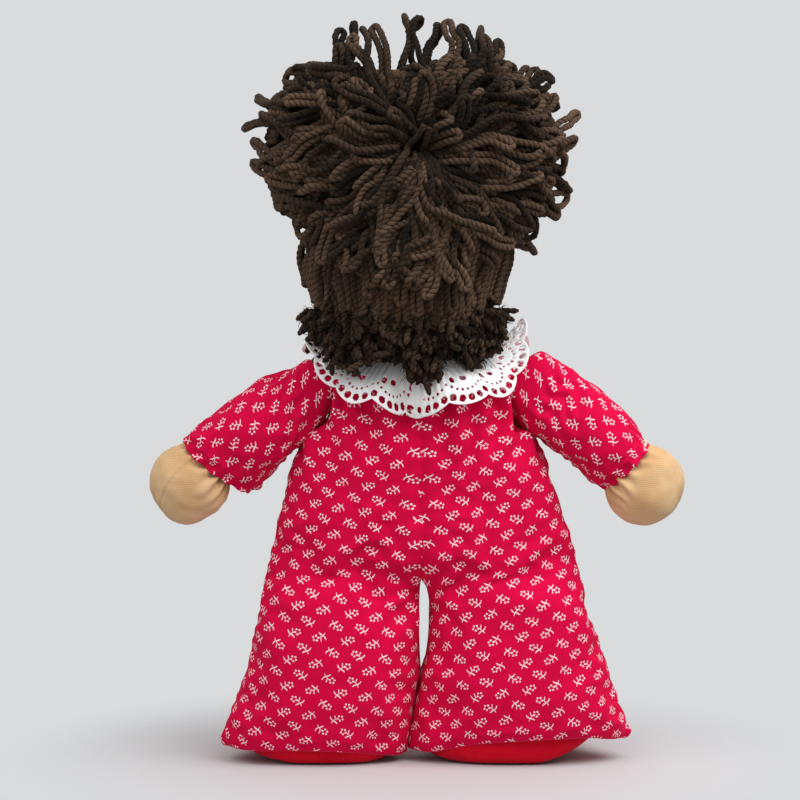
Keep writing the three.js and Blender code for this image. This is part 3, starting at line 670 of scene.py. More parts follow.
def dress(
    piece: Object, material: Material, nodes: Sequence[str] = (), body: str = ""
) -> Object:
    """Gives a piece its finish, hides the nodes that it stands for and lets it ride on its body.

    Args:
        piece: the piece.
        material: its finish.
        nodes: the nodes.
        body: the body, if it moves with only one.

    Returns:
        The piece.
    """
    piece.data.materials.append(material)
    if nodes:
        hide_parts(*nodes)
    if body:
        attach(piece, body)
    LOG.info("%s: %d faces", piece.name, len(piece.data.polygons))
    return piece


@dataclass
class RomperHalf:
    """One half of the romper, cut in one from neck to hem, with its stuffed leg."""

    side: Side
    rows: int = 104
    across: int = 36
    wall: int = 4
    neck: float = 188.0
    hip: float = 99.0
    fork: float = 74.0
    crotch: float = 84.0
    shoulder: tuple[float, float] = (52.0, 170.0)
    socket: float = 17.7
    grain: float = 8.0
    hip_axis: float = 89.0
    tuck: float = 3.0  # how far the halves lap at the middle, and how deep their seam lies
    heights: tuple[float, ...] = (5, 13, 20, 30, 44, 58, 72, 86, 100, 114, 128, 142, 150, 160, 170, 178, 184, 188)
    widths: tuple[float, ...] = (
        96, 95.5, 93.5, 89.5, 85, 81.3, 76.9, 74.3, 71, 67, 62.9, 59.2, 55.5, 50.5, 47.5, 45, 40, 30,
    )

    def half_width(self, z: Array) -> Array:
        """How far the side seam is from the middle at each height; the doll's right leg is a little wider."""
        wider = (1.8, 2.2, 2.6, 2.2, 1.7, 0.0) if self.side is Side.RIGHT else (-3.1, -3.9, -3.8, -1.9, -0.8, 0.0)
        return np.interp(z, self.heights, self.widths) + np.interp(z, (8, 22, 40, 60, 90, 125), wider)

    def half_depth(self, z: Array) -> Array:
        """How far the stuffing pushes out the front and back at each height."""
        levels, depths = (8, 30, 60, 89, 114, 144, 168, 182, 188), (24.0, 25.8, 25.8, 24.5, 26.3, 26.3, 24.5, 21, 19)
        return np.interp(z, levels, depths)

    def inner(self, y: Array, z: Array) -> Array:
        """How far the inner seam is from the middle: the legs part under the crotch and lean together below.

        Where they touch, both follow one curve of the distance to the hips' axis, so that a leg swings past
        the other.
        """
        lean = np.interp(np.hypot(y, z - self.hip_axis), (0, 45, 55, 72, 78, 84), (0, 0, 1.6, 4.8, 6.0, 6.5))
        gap = (0.0, 0.5, 0.8, 0.8, 0.5, 0.0) if self.side is Side.LEFT else (0.0, 2.2, 3.6, 3.8, 2.6, 0.0)
        return self.side.value * lean * smooth(60, 44, z) + np.interp(z, (43, 50, 60, 76, 83, 87), gap)

    def hem(self, x: Array) -> Array:
        """The hem's height, which rises to the side; the doll's right hem is higher."""
        if self.side is Side.LEFT:
            return np.interp(x, (0, 10, 22, 32, 48, 67, 80, 92), (3.0, 3.2, 5.2, 6.6, 7.4, 7.2, 6.8, 6.6))
        levels = (5.2, 5.5, 8.7, 10.9, 12.1, 12.9, 13.3, 12.7, 10.6, 10.3)
        return np.interp(x, (0, 5, 17, 30, 43, 56, 68, 81, 92, 97), levels)

    def grid(self) -> tuple[Array, Array]:
        """The half's base form on a grid of rows and columns round it.

        Columns run over the back from the inner seam to the side seam, then over the front to the inner seam, then
        over the flat wall between. Each point is a mix of a body section, the quarter of a superellipse that is
        deepest at the middle, and a leg section, a half superellipse that closes at both seams.

        Returns:
            The points (rows, columns, 3) and each column's share of the way to the side seam.
        """
        share = np.linspace(0, 1, self.across + 1)
        ease = 0.5 * share + 0.5 * (0.5 - 0.5 * np.cos(math.pi * share))
        back = np.concatenate([ease, ease[::-1][1:]])
        sign = np.concatenate([np.ones(self.across + 1), -np.ones(self.across)])
        down = np.linspace(0, 1, self.rows)[:, None]
        z = self.neck - down * (self.neck - 8.0) + 0 * back[None]
        for _ in range(2):
            wide, deep, gap = self.half_width(z), self.half_depth(z), self.inner(0 * z, z)
            mixed = smooth(self.hip, self.fork, z)
            form = 2.4 - 0.45 * smooth(26, 8, z)
            angle = math.pi / 2 * (1 + back)
            body_x, body_y = wide * power(-np.cos(angle), 2 / 2.3), deep * power(np.sin(angle), 2 / 2.3)
            middle, reach = (wide + gap) / 2, (wide - gap) / 2
            angle = math.pi * back
            leg_x = middle - reach * power(np.cos(angle), 2 / form)
            leg_y = 0.5 + (deep - 0.5) * power(np.sin(angle), 2 / form)
            x = np.maximum((1 - mixed) * body_x + mixed * leg_x, gap)
            y = ((1 - mixed) * body_y + mixed * leg_y) * sign
            z = self.neck - down * (self.neck - self.hem(x))
        steps = np.arange(1, self.wall + 1) / (self.wall + 1)
        wall_y = y[:, -1:] + (y[:, :1] - y[:, -1:]) * steps
        x = np.concatenate([x, np.repeat(gap[:, :1], self.wall, 1)], 1)
        y = np.concatenate([y, wall_y], 1)
        z = np.concatenate([z, z[:, -1:] + (z[:, :1] - z[:, -1:]) * steps], 1)
        return np.stack([x, y, z], -1), np.concatenate([back, np.zeros(self.wall)])

    def armhole(self, points: Array) -> Array:
        """Pushes the points near the arm's root out of its ball, by the soft maximum of their distance and radius."""
        pivot = np.array([self.shoulder[0], 0.0, self.shoulder[1]])
        off = points - pivot
        far = np.linalg.norm(off, axis=-1, keepdims=True)
        new = self.socket + 1.1 * np.logaddexp(0, (far - self.socket) / 1.1)
        return pivot + off / np.maximum(far, 1e-6) * new

    def folds(self, points: Array, back: Array) -> Array:
        """The puckers: bands of waves that fade away from the seam, gather or corner that causes them."""
        x, z = points[..., 0], points[..., 2]
        seed = 11 if self.side is Side.LEFT else 23
        arc = arc_lengths(points)
        side_arc = arc[:, self.across : self.across + 1]
        to_side = np.abs(arc - side_arc)
        last = arc[:, 2 * self.across : 2 * self.across + 1]
        to_middle = np.minimum(arc, np.abs(last - arc))
        drift = ripple(points, 24, seed)
        height = 0.9 * ripple(points, 42, seed + 1) + 0.35 * ripple(points, 15, seed + 2)
        seam = np.exp(-to_middle / 8) * smooth(0.0, 2.5, to_middle)
        height += 0.6 * seam * np.sin(TURN * z / 7.5 + 3 * drift)
        far = np.hypot(x, z - self.crotch)
        turn = np.arctan2(z - self.crotch, x + 4)
        height += 0.95 * bell(far - 17, 15) * smooth(2, 12, far) * np.sin(10 * turn + 2.0 * drift)
        gathers = smooth(132, 172, z) ** 1.2
        height += 3.0 * gathers * np.sin(TURN * arc / 12.5 + 1.6 * drift)
        pivot_far = np.hypot(x - self.shoulder[0], z - self.shoulder[1])
        pivot_turn = np.arctan2(z - self.shoulder[1], x - self.shoulder[0])
        height += 0.8 * bell(pivot_far - 22, 7) * np.sin(14 * pivot_turn + 2 * drift)
        above = z - self.hem(x)
        height += 0.22 * np.exp(-np.maximum(above, 0) / 7) * np.sin(TURN * arc / 9.5 + 2.4 * drift)
        height -= 1.7 * smooth(4.5, -0.5, above) ** 1.5
        height += 0.28 * np.exp(-to_side / 7) * np.sin(TURN * z / 10 + 2.5 * drift)
        height += 0.5 * bell(to_side, 1.3) - 0.35 * bell(to_side - 2.6, 1.2)
        height += 2.6 * bell(to_side, 2.2) * bell(above - 1.5, 4.0)
        flat = 1 - 0.75 * smooth(3.0, 0.0, np.minimum(to_middle, 30) + 0 * x)
        return height * np.where(back > 0, flat, 0.0)

    def cloth_map(self, points: Array) -> Array:
        """Each corner's place on the cloth: arc from the panel's middle line and height, turned by its grain."""
        arc = arc_lengths(points)
        middle = 0.45 * self.half_width(points[:, 0, 2])
        lean = math.radians(self.grain)
        places = []
        for columns in (slice(0, self.across + 1), slice(self.across, 2 * self.across + 1)):
            x, run, v = points[:, columns, 0], arc[:, columns], points[:, columns, 2]
            way = np.sign(x[0, -1] - x[0, 0])
            start = [np.interp(way * m, way * row, far) for m, row, far in zip(middle, x, run)]
            u = (middle[:, None] + way * (run - np.array(start)[:, None])) * self.side.value * -way
            places.append(turned(u, v, lean * way * self.side.value))
        rest = np.stack([arc[:, 2 * self.across :] * 0, points[:, 2 * self.across :, 2]], -1)
        rest = np.concatenate([rest, rest[:, :1]], 1)
        corners = [cells(p).reshape(len(points) - 1, -1, 4, 2) for p in (*places, rest)]
        return np.concatenate(corners, 1).reshape(-1, 4, 2)

    def build(self, calico: Material) -> Object:
        """Makes, stuffs and places the half.

        Args:
            calico: its cloth.

        Returns:
            The piece.
        """
        points, back = self.grid()
        places = self.cloth_map(points)
        points = self.armhole(points)
        points = push(points, self.folds(points, back[None]))
        z = points[..., 2]
        lap = smooth(86, 94, z)
        crease = bell(np.maximum(points[..., 0] - 2.8, 0), 1.4) * smooth(60, 96, z)
        points[..., 1] *= 1 - (self.tuck + 0.8 * np.sin(z / 4.7)) * crease / self.half_depth(z)
        points[..., 0] -= self.tuck * lap * smooth(8, 0, points[..., 0])
        least = self.inner(points[..., 1], points[..., 2]) - self.tuck * lap
        points[..., 0] = np.maximum(points[..., 0], least)
        up = np.array([0.0, 0.0, 1.0])
        hem_ring = points[-1:]
        hem_steps = ((0.03, -0.2), (0.07, 1.2), (0.1, 5.0))
        below = nested(hem_ring, hem_ring.mean(1, keepdims=True), hem_steps, up)
        above = nested(points[:1], np.array([[[0.2, 0.0, 188.5]]]), ((0.3, 0.8), (0.12, 0.6)), up)
        rings = np.concatenate([*above, points, *below])
        rings = settled(rings, self.side)
        rows, columns = rings.shape[:2]
        quads = closed_faces((rows, columns))
        cloth = np.zeros((rows - 1, columns, 4, 2))
        cloth[2 : 2 + len(points) - 1] = places.reshape(len(points) - 1, columns, 4, 2)
        number = np.arange(rows * columns).reshape(rows, columns)
        word = self.side.word
        piece = make_piece(f"romper_{word}", rings, [quads, number[:1, ::-1], number[-1:]], [cloth.reshape(-1, 4, 2)])
        pinned = np.zeros((rows, columns))
        pinned[:6] = pinned[-6:] = 1
        pinned[:, :6] = pinned[:, 2 * self.across - 5 :] = 1
        pinned[:, self.across - 1 : self.across + 2] = 0.8
        pinned[:52] = np.maximum(pinned[:52], np.clip(np.linspace(1.8, 0, 52), 0, 1)[:, None])
        pivot = np.array([self.side.value * self.shoulder[0], MID_Y, self.shoulder[1]])
        pinned[np.linalg.norm(rings - pivot, axis=-1) < self.socket + 2.5] = 1
        stuff(piece, pinned.ravel(), 0.05, 2.4)
        subdivide(piece)
        kinds = ("romper_back", "romper_front", "hip_fold", "trouser_back", "trouser_front", "leg_stuffing")
        dress(piece, calico, [f"{kind}_{word}" for kind in kinds] + ["torso_stuffing"])
        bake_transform(piece)
        return piece


@dataclass
class Sleeve:
    """A stuffed sleeve: a ball in the armhole that widens into a flat pillow with a turned-in cuff."""

    side: Side
    root: float = 17.0
    rows: int = 54
    columns: int = 84
    pivot: tuple[float, float] = (52.0, 170.0)
    slope: float = 30.0
    start: float = -14.5  # how far behind the pivot it begins

    def frame_axes(self) -> tuple[Array, Array, Array]:
        """The pivot, the way along the arm and the way across it, before mirroring."""
        a = math.radians(self.slope)
        return (
            np.array([self.pivot[0], 0.0, self.pivot[1]]),
            np.array([math.cos(a), 0.0, -math.sin(a)]),
            np.array([math.sin(a), 0.0, math.cos(a)]),
        )

    def extents(self, t: Array) -> tuple[Array, Array, Array]:
        """How far the sleeve reaches up, down and to each face at each distance along the arm."""
        if self.side is Side.LEFT:
            up_at, ups = (0, 12, 26, 40, 46, 52, 56), (18.2, 19.3, 18.5, 18.0, 17.3, 15.9, 13.9)
            low_at, lows = (-14.5, -6, 0, 5, 23, 34, 45, 52, 58), (5, 9, 12.8, 14.6, 17.6, 19.6, 21.0, 23.0, 22.4)
        else:
            up_at, ups = (-6, 10, 20, 28, 34, 40, 46, 52, 57), (23.0, 20.6, 19.8, 18.9, 17.4, 15.4, 13.2, 10.8, 9.0)
            low_at = (-14.5, -6, 0, 5, 12, 22, 32, 43, 49, 56)
            lows = (5, 8.5, 12, 13, 12.9, 14.4, 15.9, 17.5, 19.0, 18.2)
        up, low = np.interp(t, up_at, ups), np.interp(t, low_at, lows)
        deep = np.interp(t, (-14.5, -6, 0, 10, 25, 40, 50, 56), (8.0, 12.5, 15.4, 18.4, 19.6, 18.6, 16.8, 14.8))
        ball = np.sqrt(np.maximum(self.root**2 - np.minimum(t, 0) ** 2, 1.0))
        return ball + (up - ball) * smooth(self.start - 1.5, -7, t), low, deep

    def build(self, calico: Material) -> Object:
        """Makes, stuffs and places the sleeve.

        Each ring is a superellipse whose upper and lower halves differ, with a point at the seam underneath near
        the cuff. Rings lean with the cuff's slant towards the hand.

        Args:
            calico: its cloth.

        Returns:
            The piece.
        """
        seed = 41 if self.side is Side.LEFT else 57
        pivot, along, across = self.frame_axes()
        slant, end = (0.356, 56.0) if self.side is Side.LEFT else (0.22, 55.0)
        t = np.linspace(self.start, end, self.rows)[:, None]
        turn = full_turn(self.columns)
        up, low, deep = self.extents(t)
        form = 2.2 - 0.2 * smooth(38, 54, t)
        cosine, sine = np.cos(turn), np.sin(turn)
        p = np.where(cosine > 0, -low, -up) * power(cosine, 2 / form)
        y = deep * power(sine, 2 / np.where(cosine > 0, form, form + 0.25))
        run = t + slant * (p + 5) * smooth(8, 50, t)
        run -= np.where(p > 0, 0.045, 0.015) * np.maximum(np.abs(p + 1) - 8, 0) ** 2 * smooth(34, end, t)
        rings = pivot + run[..., None] * along + p[..., None] * across
        rings[..., 1] = y
        arc = arc_lengths(np.concatenate([rings, rings[:, :1]], 1))
        whole = arc[:, -1:]
        to_seam = np.minimum(arc[:, :-1], whole - arc[:, :-1])
        drift = ripple(rings, 20, seed)
        height = 0.7 * ripple(rings, 34, seed + 1) + 0.35 * ripple(rings, 12, seed + 2)
        height += 0.55 * np.exp(-to_seam / 6) * np.sin(TURN * run / 8 + 2.5 * drift)
        height += 0.6 * bell(to_seam, 1.3) * smooth(-4, 6, t)
        height += 0.9 * bell(t - 8, 8) * np.sin(TURN * arc[:, :-1] / 8.5 + 2.2 * drift)
        height += 0.85 * np.exp(-(end - t) / 7) * np.sin(TURN * arc[:, :-1] / 8.2 + 2.0 * drift)
        height -= 0.8 * bell(t - end + 2.5, 2.2)
        height *= smooth(-9, 2, t)
        rings = push(rings, height)
        lip = rings[-1:]
        inward = nested(lip, lip.mean(1, keepdims=True), ((0.035, -0.5), (0.09, 0.6), (0.16, 5.0)), -along)
        rings = np.concatenate([rings, *inward])
        grain = math.radians(5.0)
        u, v = np.concatenate([run, run[-1:].repeat(3, 0)]), np.concatenate([arc, arc[-1:].repeat(3, 0)])
        u = np.concatenate([u, u[:, :1]], 1)
        cloth = turned(u, v, grain)
        rings = settled(rings, self.side)
        word = self.side.word
        piece = make_tube(f"sleeve_{word}_cloth", rings, cloth)
        pinned = np.zeros(rings.shape[:2])
        pinned[: int(np.searchsorted(t[:, 0], 2))] = 1
        pinned[-6:] = 1
        pinned[:, :2] = pinned[:, -1:] = 0.9
        stuff(piece, pinned.ravel(), 0.045, 1.9)
        subdivide(piece)
        dress(piece, calico, [f"{n}_{word}" for n in ("sleeve", "arm_stuffing", "shoulder_stuffing")])
        side = self.side.value
        ends = [(pivot + along * k) * MM for k in (-8.0, 14.0)]
        start, end = [(side * float(e[0]), MID_Y * MM, float(e[2])) for e in ends]
        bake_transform(piece)
        return piece


@dataclass
class Hand:
    """A ball of jersey, gathered where it goes into the cuff."""

    side: Side
    rows: int = 46
    columns: int = 120
    half: tuple[float, float, float] = (17.8, 18.9, 16.8)  # along the arm, across it, front to back
    pleats: int = 15

    def build(self, jersey: Material) -> Object:
        """Makes and places the hand.

        A ring is an ellipse whose radius follows the ball's profile along the arm; near the cuff it is pleated.

        Args:
            jersey: its cloth.

        Returns:
            The piece.
        """
        left = self.side is Side.LEFT
        seed = 71 if left else 83
        centre = np.array([109.6, 0.0, 131.0] if left else [105.6, 0.0, 130.2])
        _, along, across = Sleeve(self.side).frame_axes()
        polar = np.linspace(0.0, 1.0, self.rows)[:, None]
        angle = math.pi * (0.13 + 0.865 * polar)
        turn = full_turn(self.columns)
        reach = np.sin(angle) ** 0.93
        run = -self.half[0] * np.cos(angle)
        p, y = -self.half[1] * reach * np.cos(turn), self.half[2] * reach * np.sin(turn)
        rings = centre + run[..., None] * along + p[..., None] * across
        rings[..., 1] = y
        drift = ripple(rings, 18, seed)
        near = smooth(3.0, -16, run)
        height = 0.55 * ripple(rings, 22, seed + 1) + 0.16 * ripple(rings, 8, seed + 2)
        height += (0.3 + 1.5 * near) * near * np.sin(self.pleats * turn + 2.0 * drift)
        seam = np.array([0.689, -0.436, 0.578] if left else [0.331, -0.928, 0.169])
        plane = (rings - centre) @ seam
        height += 0.3 * bell(plane - 1.0, 0.8) - 0.8 * bell(plane, 0.5)
        rings = push(rings, height)
        arc = np.concatenate([turn, turn[:, :1] + TURN], 1) * 18 + 0 * run
        cloth = np.stack([arc, 18 * angle + 0 * arc], -1)
        word = self.side.word
        piece = make_tube(f"hand_{word}_jersey", settled(rings, self.side), cloth)
        subdivide(piece)
        dress(piece, jersey, [f"{n}_{word}" for n in ("hand_skin", "hand_stuffing")], f"hand_{word}")
        return piece


@dataclass
class Slipper:
    """A soft red slipper whose top goes up into the hem, on a flat sole."""

    side: Side
    rows: int = 30
    columns: int = 120
    sole: float = 1.8
    heel: float = 20.4
    toe: float = 64.0
    top: float = 26.2

    @property
    def middle(self) -> float:
        """The slipper's middle line, from the doll's middle."""
        return 48.3 if self.side is Side.LEFT else 44.6

    def outline(self, turn: Array) -> tuple[Array, Array]:
        """The upper's widest line: a wide rounded heel under the hem that narrows a little to a round toe."""
        cosine, sine = np.cos(turn), np.sin(turn)
        toe = np.maximum(-sine, 0)
        wide = 40.0 if self.side is Side.LEFT else 43.0
        x = wide * power(cosine, 2 / 2.6) * (1 - 0.16 * toe**2)
        y = np.where(sine > 0, self.heel * power(sine, 2 / 2.2), -self.toe * toe ** (2 / 2.6))
        return x, y

    def curl(self, x: Array) -> Array:
        """How far the underside curls up off the ground towards each side."""
        outer, inner = (6.2, 3.0) if self.side is Side.LEFT else (13.0, 0.6)
        off = x - self.middle
        return outer * np.clip((off - 9) / 30, 0, 1) ** 1.6 + inner * np.clip((-off - 22) / 16, 0, 1) ** 1.5

    def build(self, twill: Material, sole_finish: Material) -> None:
        """Makes and places the upper and its sole.

        The upper's rings start under the foot, grow to the outline and shrink again towards the ankle, along the
        rounded section of a stuffed slipper; the toe is lower than the heel, and the outer side curls up.

        Args:
            twill: the upper's cloth.
            sole_finish: the sole's.
        """
        seed = 91 if self.side is Side.LEFT else 97
        turn = full_turn(self.columns)
        x, y = self.outline(turn)
        k = np.linspace(0, 1, self.rows)[:, None]
        polar = math.pi * (0.12 + 0.875 * k)
        shrink = np.sin(polar) ** 0.24
        top = self.top - 3.0 * smooth(-25, -62, y)
        z = 0.5 + (top - 0.5) * (0.5 - 0.5 * power(np.cos(polar), 0.9) / math.cos(math.pi * 0.12) ** 0.9)
        rings = np.stack([self.middle + x * shrink, y * shrink, z], -1)
        drift = ripple(rings, 22, seed)
        steps = np.hypot(np.diff(x[0], append=x[0, 0]), np.diff(y[0], append=y[0, 0]))
        arc = np.concatenate([[0.0], np.cumsum(steps)])
        height = 0.4 * ripple(rings, 26, seed + 1) + 0.15 * ripple(rings, 9, seed + 2)
        height += 0.35 * bell(k - 0.12, 0.1) * np.sin(TURN * arc[None, :-1] / 7.5 + 2 * drift)
        rings = push(rings, height * smooth(0.02, 0.15, k))
        rings[..., 2] = np.maximum(rings[..., 2], 0.3)
        rings[..., 2] += self.curl(rings[..., 0]) * np.clip(1 - rings[..., 2] / 26, 0, 1)
        cloth = np.stack([arc[None] + 0 * k, 44 * k + 0 * arc[None]], -1)
        word = self.side.word
        upper = make_tube(f"slipper_{word}", settled(rings, self.side), cloth)
        subdivide(upper)
        dress(upper, twill, [f"shoe_upper_{word}", f"shoe_stuffing_{word}"], f"leg_{word}")
        layers = [(0.2, 0.0), (0.45, 0.0), (0.62, 0.0), (0.64, 0.4)]
        layers += [(0.62, self.sole - 0.5), (0.45, self.sole), (0.2, self.sole)]
        flat = np.stack([np.stack([self.middle + x[0] * s, y[0] * s, 0 * x[0] + h], -1) for s, h in layers])
        flat[..., 2] += self.curl(flat[..., 0]) * 0.97
        cloth = np.stack([arc[None] + 0 * flat[:, :1, 0], arc[None] * 0 + flat[:, :1, 2]], -1)
        under = make_tube(f"slipper_sole_{word}", settled(flat, self.side), cloth)
        dress(under, sole_finish, [f"sole_{word}"], f"leg_{word}")


@dataclass
class Collar:
    """A gathered strip of eyelet lace whose raw ends lap at the middle of the back."""

    length: float = 352.0
    width: float = 27.0
    scallop: float = 19.0
    bulge: float = 3.2
    eyelet: float = 1.6
    pitch: float = 4.2
    border: float = 1.25
    step: float = 0.52
    troughs: tuple[float, ...] = (82.5, 149, 203, 257, 311, 355, 401, 442.5, 509)  # degrees round the neck
    wave_height: float = 6.0
    neck: tuple[float, float, float] = (27.6, 21.6, 190.4)
    rise: float = 19.0
    fall: float = -64.0

    def edge(self, s: Array) -> Array:
        """The lace's width at each place along it: rounded scallops with blunt valleys."""
        phase = np.abs(np.sin(math.pi * s / self.scallop))
        return self.width - self.bulge + self.bulge * phase**0.75

    def hole_gap(self, s: Array, t: Array) -> tuple[Array, Array, Array]:
        """The distance to the nearest hole's edge, negative inside, and the way away from that hole's middle.

        The holes are a row of round eyelets inside the corded border, a row of dots that follows the scallops
        more steeply, and two oval eyelets over each scallop.

        Args:
            s: places along the strip.
            t: places across it, from the neck.

        Returns:
            The distance, and the two parts of the way.
        """
        best = np.full(np.broadcast(s, t).shape, 1e3)
        way_s, way_t = np.zeros_like(best), np.zeros_like(best)
        rows = [(self.pitch, 0.0, self.border + self.eyelet + 0.15, 0.0, self.eyelet, self.eyelet * 1.08)]
        rows += [(2.5, 0.5, 7.2, 1.6, 0.7, 0.7)]
        rows += [(self.scallop, 0.5, 13.4, 0.0, 2.0, 1.45), (self.scallop, 0.18, 12.2, 0.0, 1.4, 1.7)]
        for pitch, start, inset, dip, wide, tall in rows:
            place = np.round(s / pitch - start)
            mid_s = (place + start) * pitch
            valley = 1 - np.abs(np.sin(math.pi * mid_s / self.scallop))
            mid_t = self.edge(mid_s) - inset - dip * valley
            off_s, off_t = s - mid_s, t - mid_t
            far = np.hypot(off_s / wide, off_t / tall)
            gap = (far - 1) * min(wide, tall)
            length = np.maximum(np.hypot(off_s, off_t), 1e-6)
            nearer = gap < best
            best = np.where(nearer, gap, best)
            way_s = np.where(nearer, off_s / length, way_s)
            way_t = np.where(nearer, off_t / length, way_t)
        return best, way_s, way_t

    def place(self, s: Array, t: Array) -> Array:
        """Carries a point of the flat strip onto the gathered collar.

        The strip runs round the neck from the middle of the back and laps over its own start. It falls at the back
        and front and stands out over the shoulders, in waves that grow towards the edge and small pleats that die
        away from the neck.

        Args:
            s: places along the strip.
            t: places across it.

        Returns:
            Points (..., 3).
        """
        lap = 0.20
        fine = np.linspace(0, 1, 1500)
        turn = math.pi / 2 - lap / 2 + (TURN + lap) * fine
        rim = self.form(turn, np.full_like(turn, self.width), fine)
        grown = np.concatenate([[0], np.cumsum(np.linalg.norm(np.diff(rim, axis=0), axis=1))])
        share = np.interp(s / self.length, grown / grown[-1], fine)
        return self.form(math.pi / 2 - lap / 2 + (TURN + lap) * share, t, share)

    def form(self, turn: Array, t: Array, share: Array) -> Array:
        """The collar's surface at an angle round the neck and a distance across the lace."""
        across = t / self.width
        fall = np.abs(np.sin(turn)) ** 1.1
        slope = np.radians(self.rise + (self.fall - self.rise) * fall)
        bend = slope * (0.55 + 0.62 * across)
        swell = 0.25 * np.sin(2.3 * turn + 1.0) + 0.2 * np.sin(5.1 * turn)
        phase = np.interp(np.degrees(turn), self.troughs, TURN * np.arange(len(self.troughs)))
        wave = -self.wave_height * across**1.15 * (1 + swell) * np.cos(phase)
        pleat = 1.35 * (1 - across) ** 2.2 * np.sin(62 * turn + 2 * np.sin(7 * turn))
        off = wave + 0.55 * self.wave_height * across + pleat + 1.3 * share * smooth(0.9, 1.0, share) * across
        reach = self.neck[0] * np.cos(turn) ** 2 + self.neck[1] * np.sin(turn) ** 2
        radius = reach + t * np.cos(bend) - off * np.sin(slope)
        height = self.neck[2] + t * np.sin(bend) + off * np.cos(slope)
        return np.stack([1.8 + radius * np.cos(turn), MID_Y + radius * np.sin(turn), height], -1)

    def build(self, lace: Material) -> Object:
        """Cuts the holes in the flat strip's grid and gathers it.

        Grid points near a hole's edge are moved onto it, the faces inside are left out, and the rest is carried
        onto the collar.

        Args:
            lace: its cloth.

        Returns:
            The piece.
        """
        columns = int(self.length / self.step)
        rows = int(self.width / self.step)
        s = np.linspace(0, self.length, columns)[None] + np.zeros((rows, 1))
        t = np.linspace(0, 1, rows)[:, None] * self.edge(s)
        for _ in range(2):
            gap, way_s, way_t = self.hole_gap(s, t)
            inside = (np.abs(gap) < 0.52 * self.step) & (t < self.edge(s) - 0.5)
            s = np.where(inside, s - gap * way_s, s)
            t = np.where(inside, t - gap * way_t, t)
        gap, _, _ = self.hole_gap(s, t)
        frayed = 0.35 * ripple(np.stack([s, t], -1), 3.0, 5) * bell(np.minimum(s, self.length - s), 2.0)
        s = np.clip(s + frayed, 0, self.length)
        number = np.arange(rows * columns).reshape(rows, columns)
        faces = cells(number[..., None])[..., 0]
        kept = cells(gap[..., None])[..., 0].mean(1) > 0.02
        used, faces = np.unique(faces[kept], return_inverse=True)
        faces = faces.reshape(-1, 4)
        points = self.place(s, t).reshape(-1, 3)[used]
        corner = np.stack([s.ravel()[used], t.ravel()[used]], -1)[faces]
        piece = make_piece("collar_eyelet_lace", points, [faces], [corner], closed=False)
        wall = piece.modifiers.new("cloth_thickness", "SOLIDIFY")
        wall.thickness = 0.42 * MM
        wall.offset = 0.0
        dress(piece, lace, ["collar_lace"], "torso")
        return piece


@dataclass
class WoundThread:
    """A few turns of thread wound side by side round a neck, wrist or lock of hair."""

    name: str
    body: str
    node: str
    slot: str
    centre: tuple[float, float, float]
    axis: tuple[float, float, float]
    radius: float
    thread: float = 0.35
    turns: float = 3.5

    def build(self, finish: Material) -> Object:
        """Makes the winding: a helix as tall as its turns are thick, with its ends tucked in.

        Args:
            finish: the thread's.

        Returns:
            The piece.
        """
        axis = unit(np.array(self.axis, float))
        helper = np.array([0.0, 0.0, 1.0]) if abs(axis[2]) < 0.9 else np.array([1.0, 0.0, 0.0])
        one = unit(np.cross(axis, helper))
        two = np.cross(axis, one)
        count = int(48 * self.turns)
        turn = np.linspace(0, TURN * self.turns, count)
        share = turn / (TURN) - self.turns / 2
        tuck = 1 - 0.06 * (bell(turn, 0.3) + bell(turn - turn[-1], 0.3))
        radial = np.cos(turn)[:, None] * one + np.sin(turn)[:, None] * two
        path = np.array(self.centre) + radial * (self.radius * tuck)[:, None]
        path = path + axis * (share * 2 * self.thread)[:, None]
        tangent = unit(np.gradient(path, axis=0))
        sideways = np.cross(tangent, radial)
        ring = full_turn(8)[..., None]
        rings = path[:, None] + self.thread * (np.cos(ring) * radial[:, None] + np.sin(ring) * sideways[:, None])
        piece = make_tube(self.name, rings)
        return dress(piece, finish, [self.node], self.body)


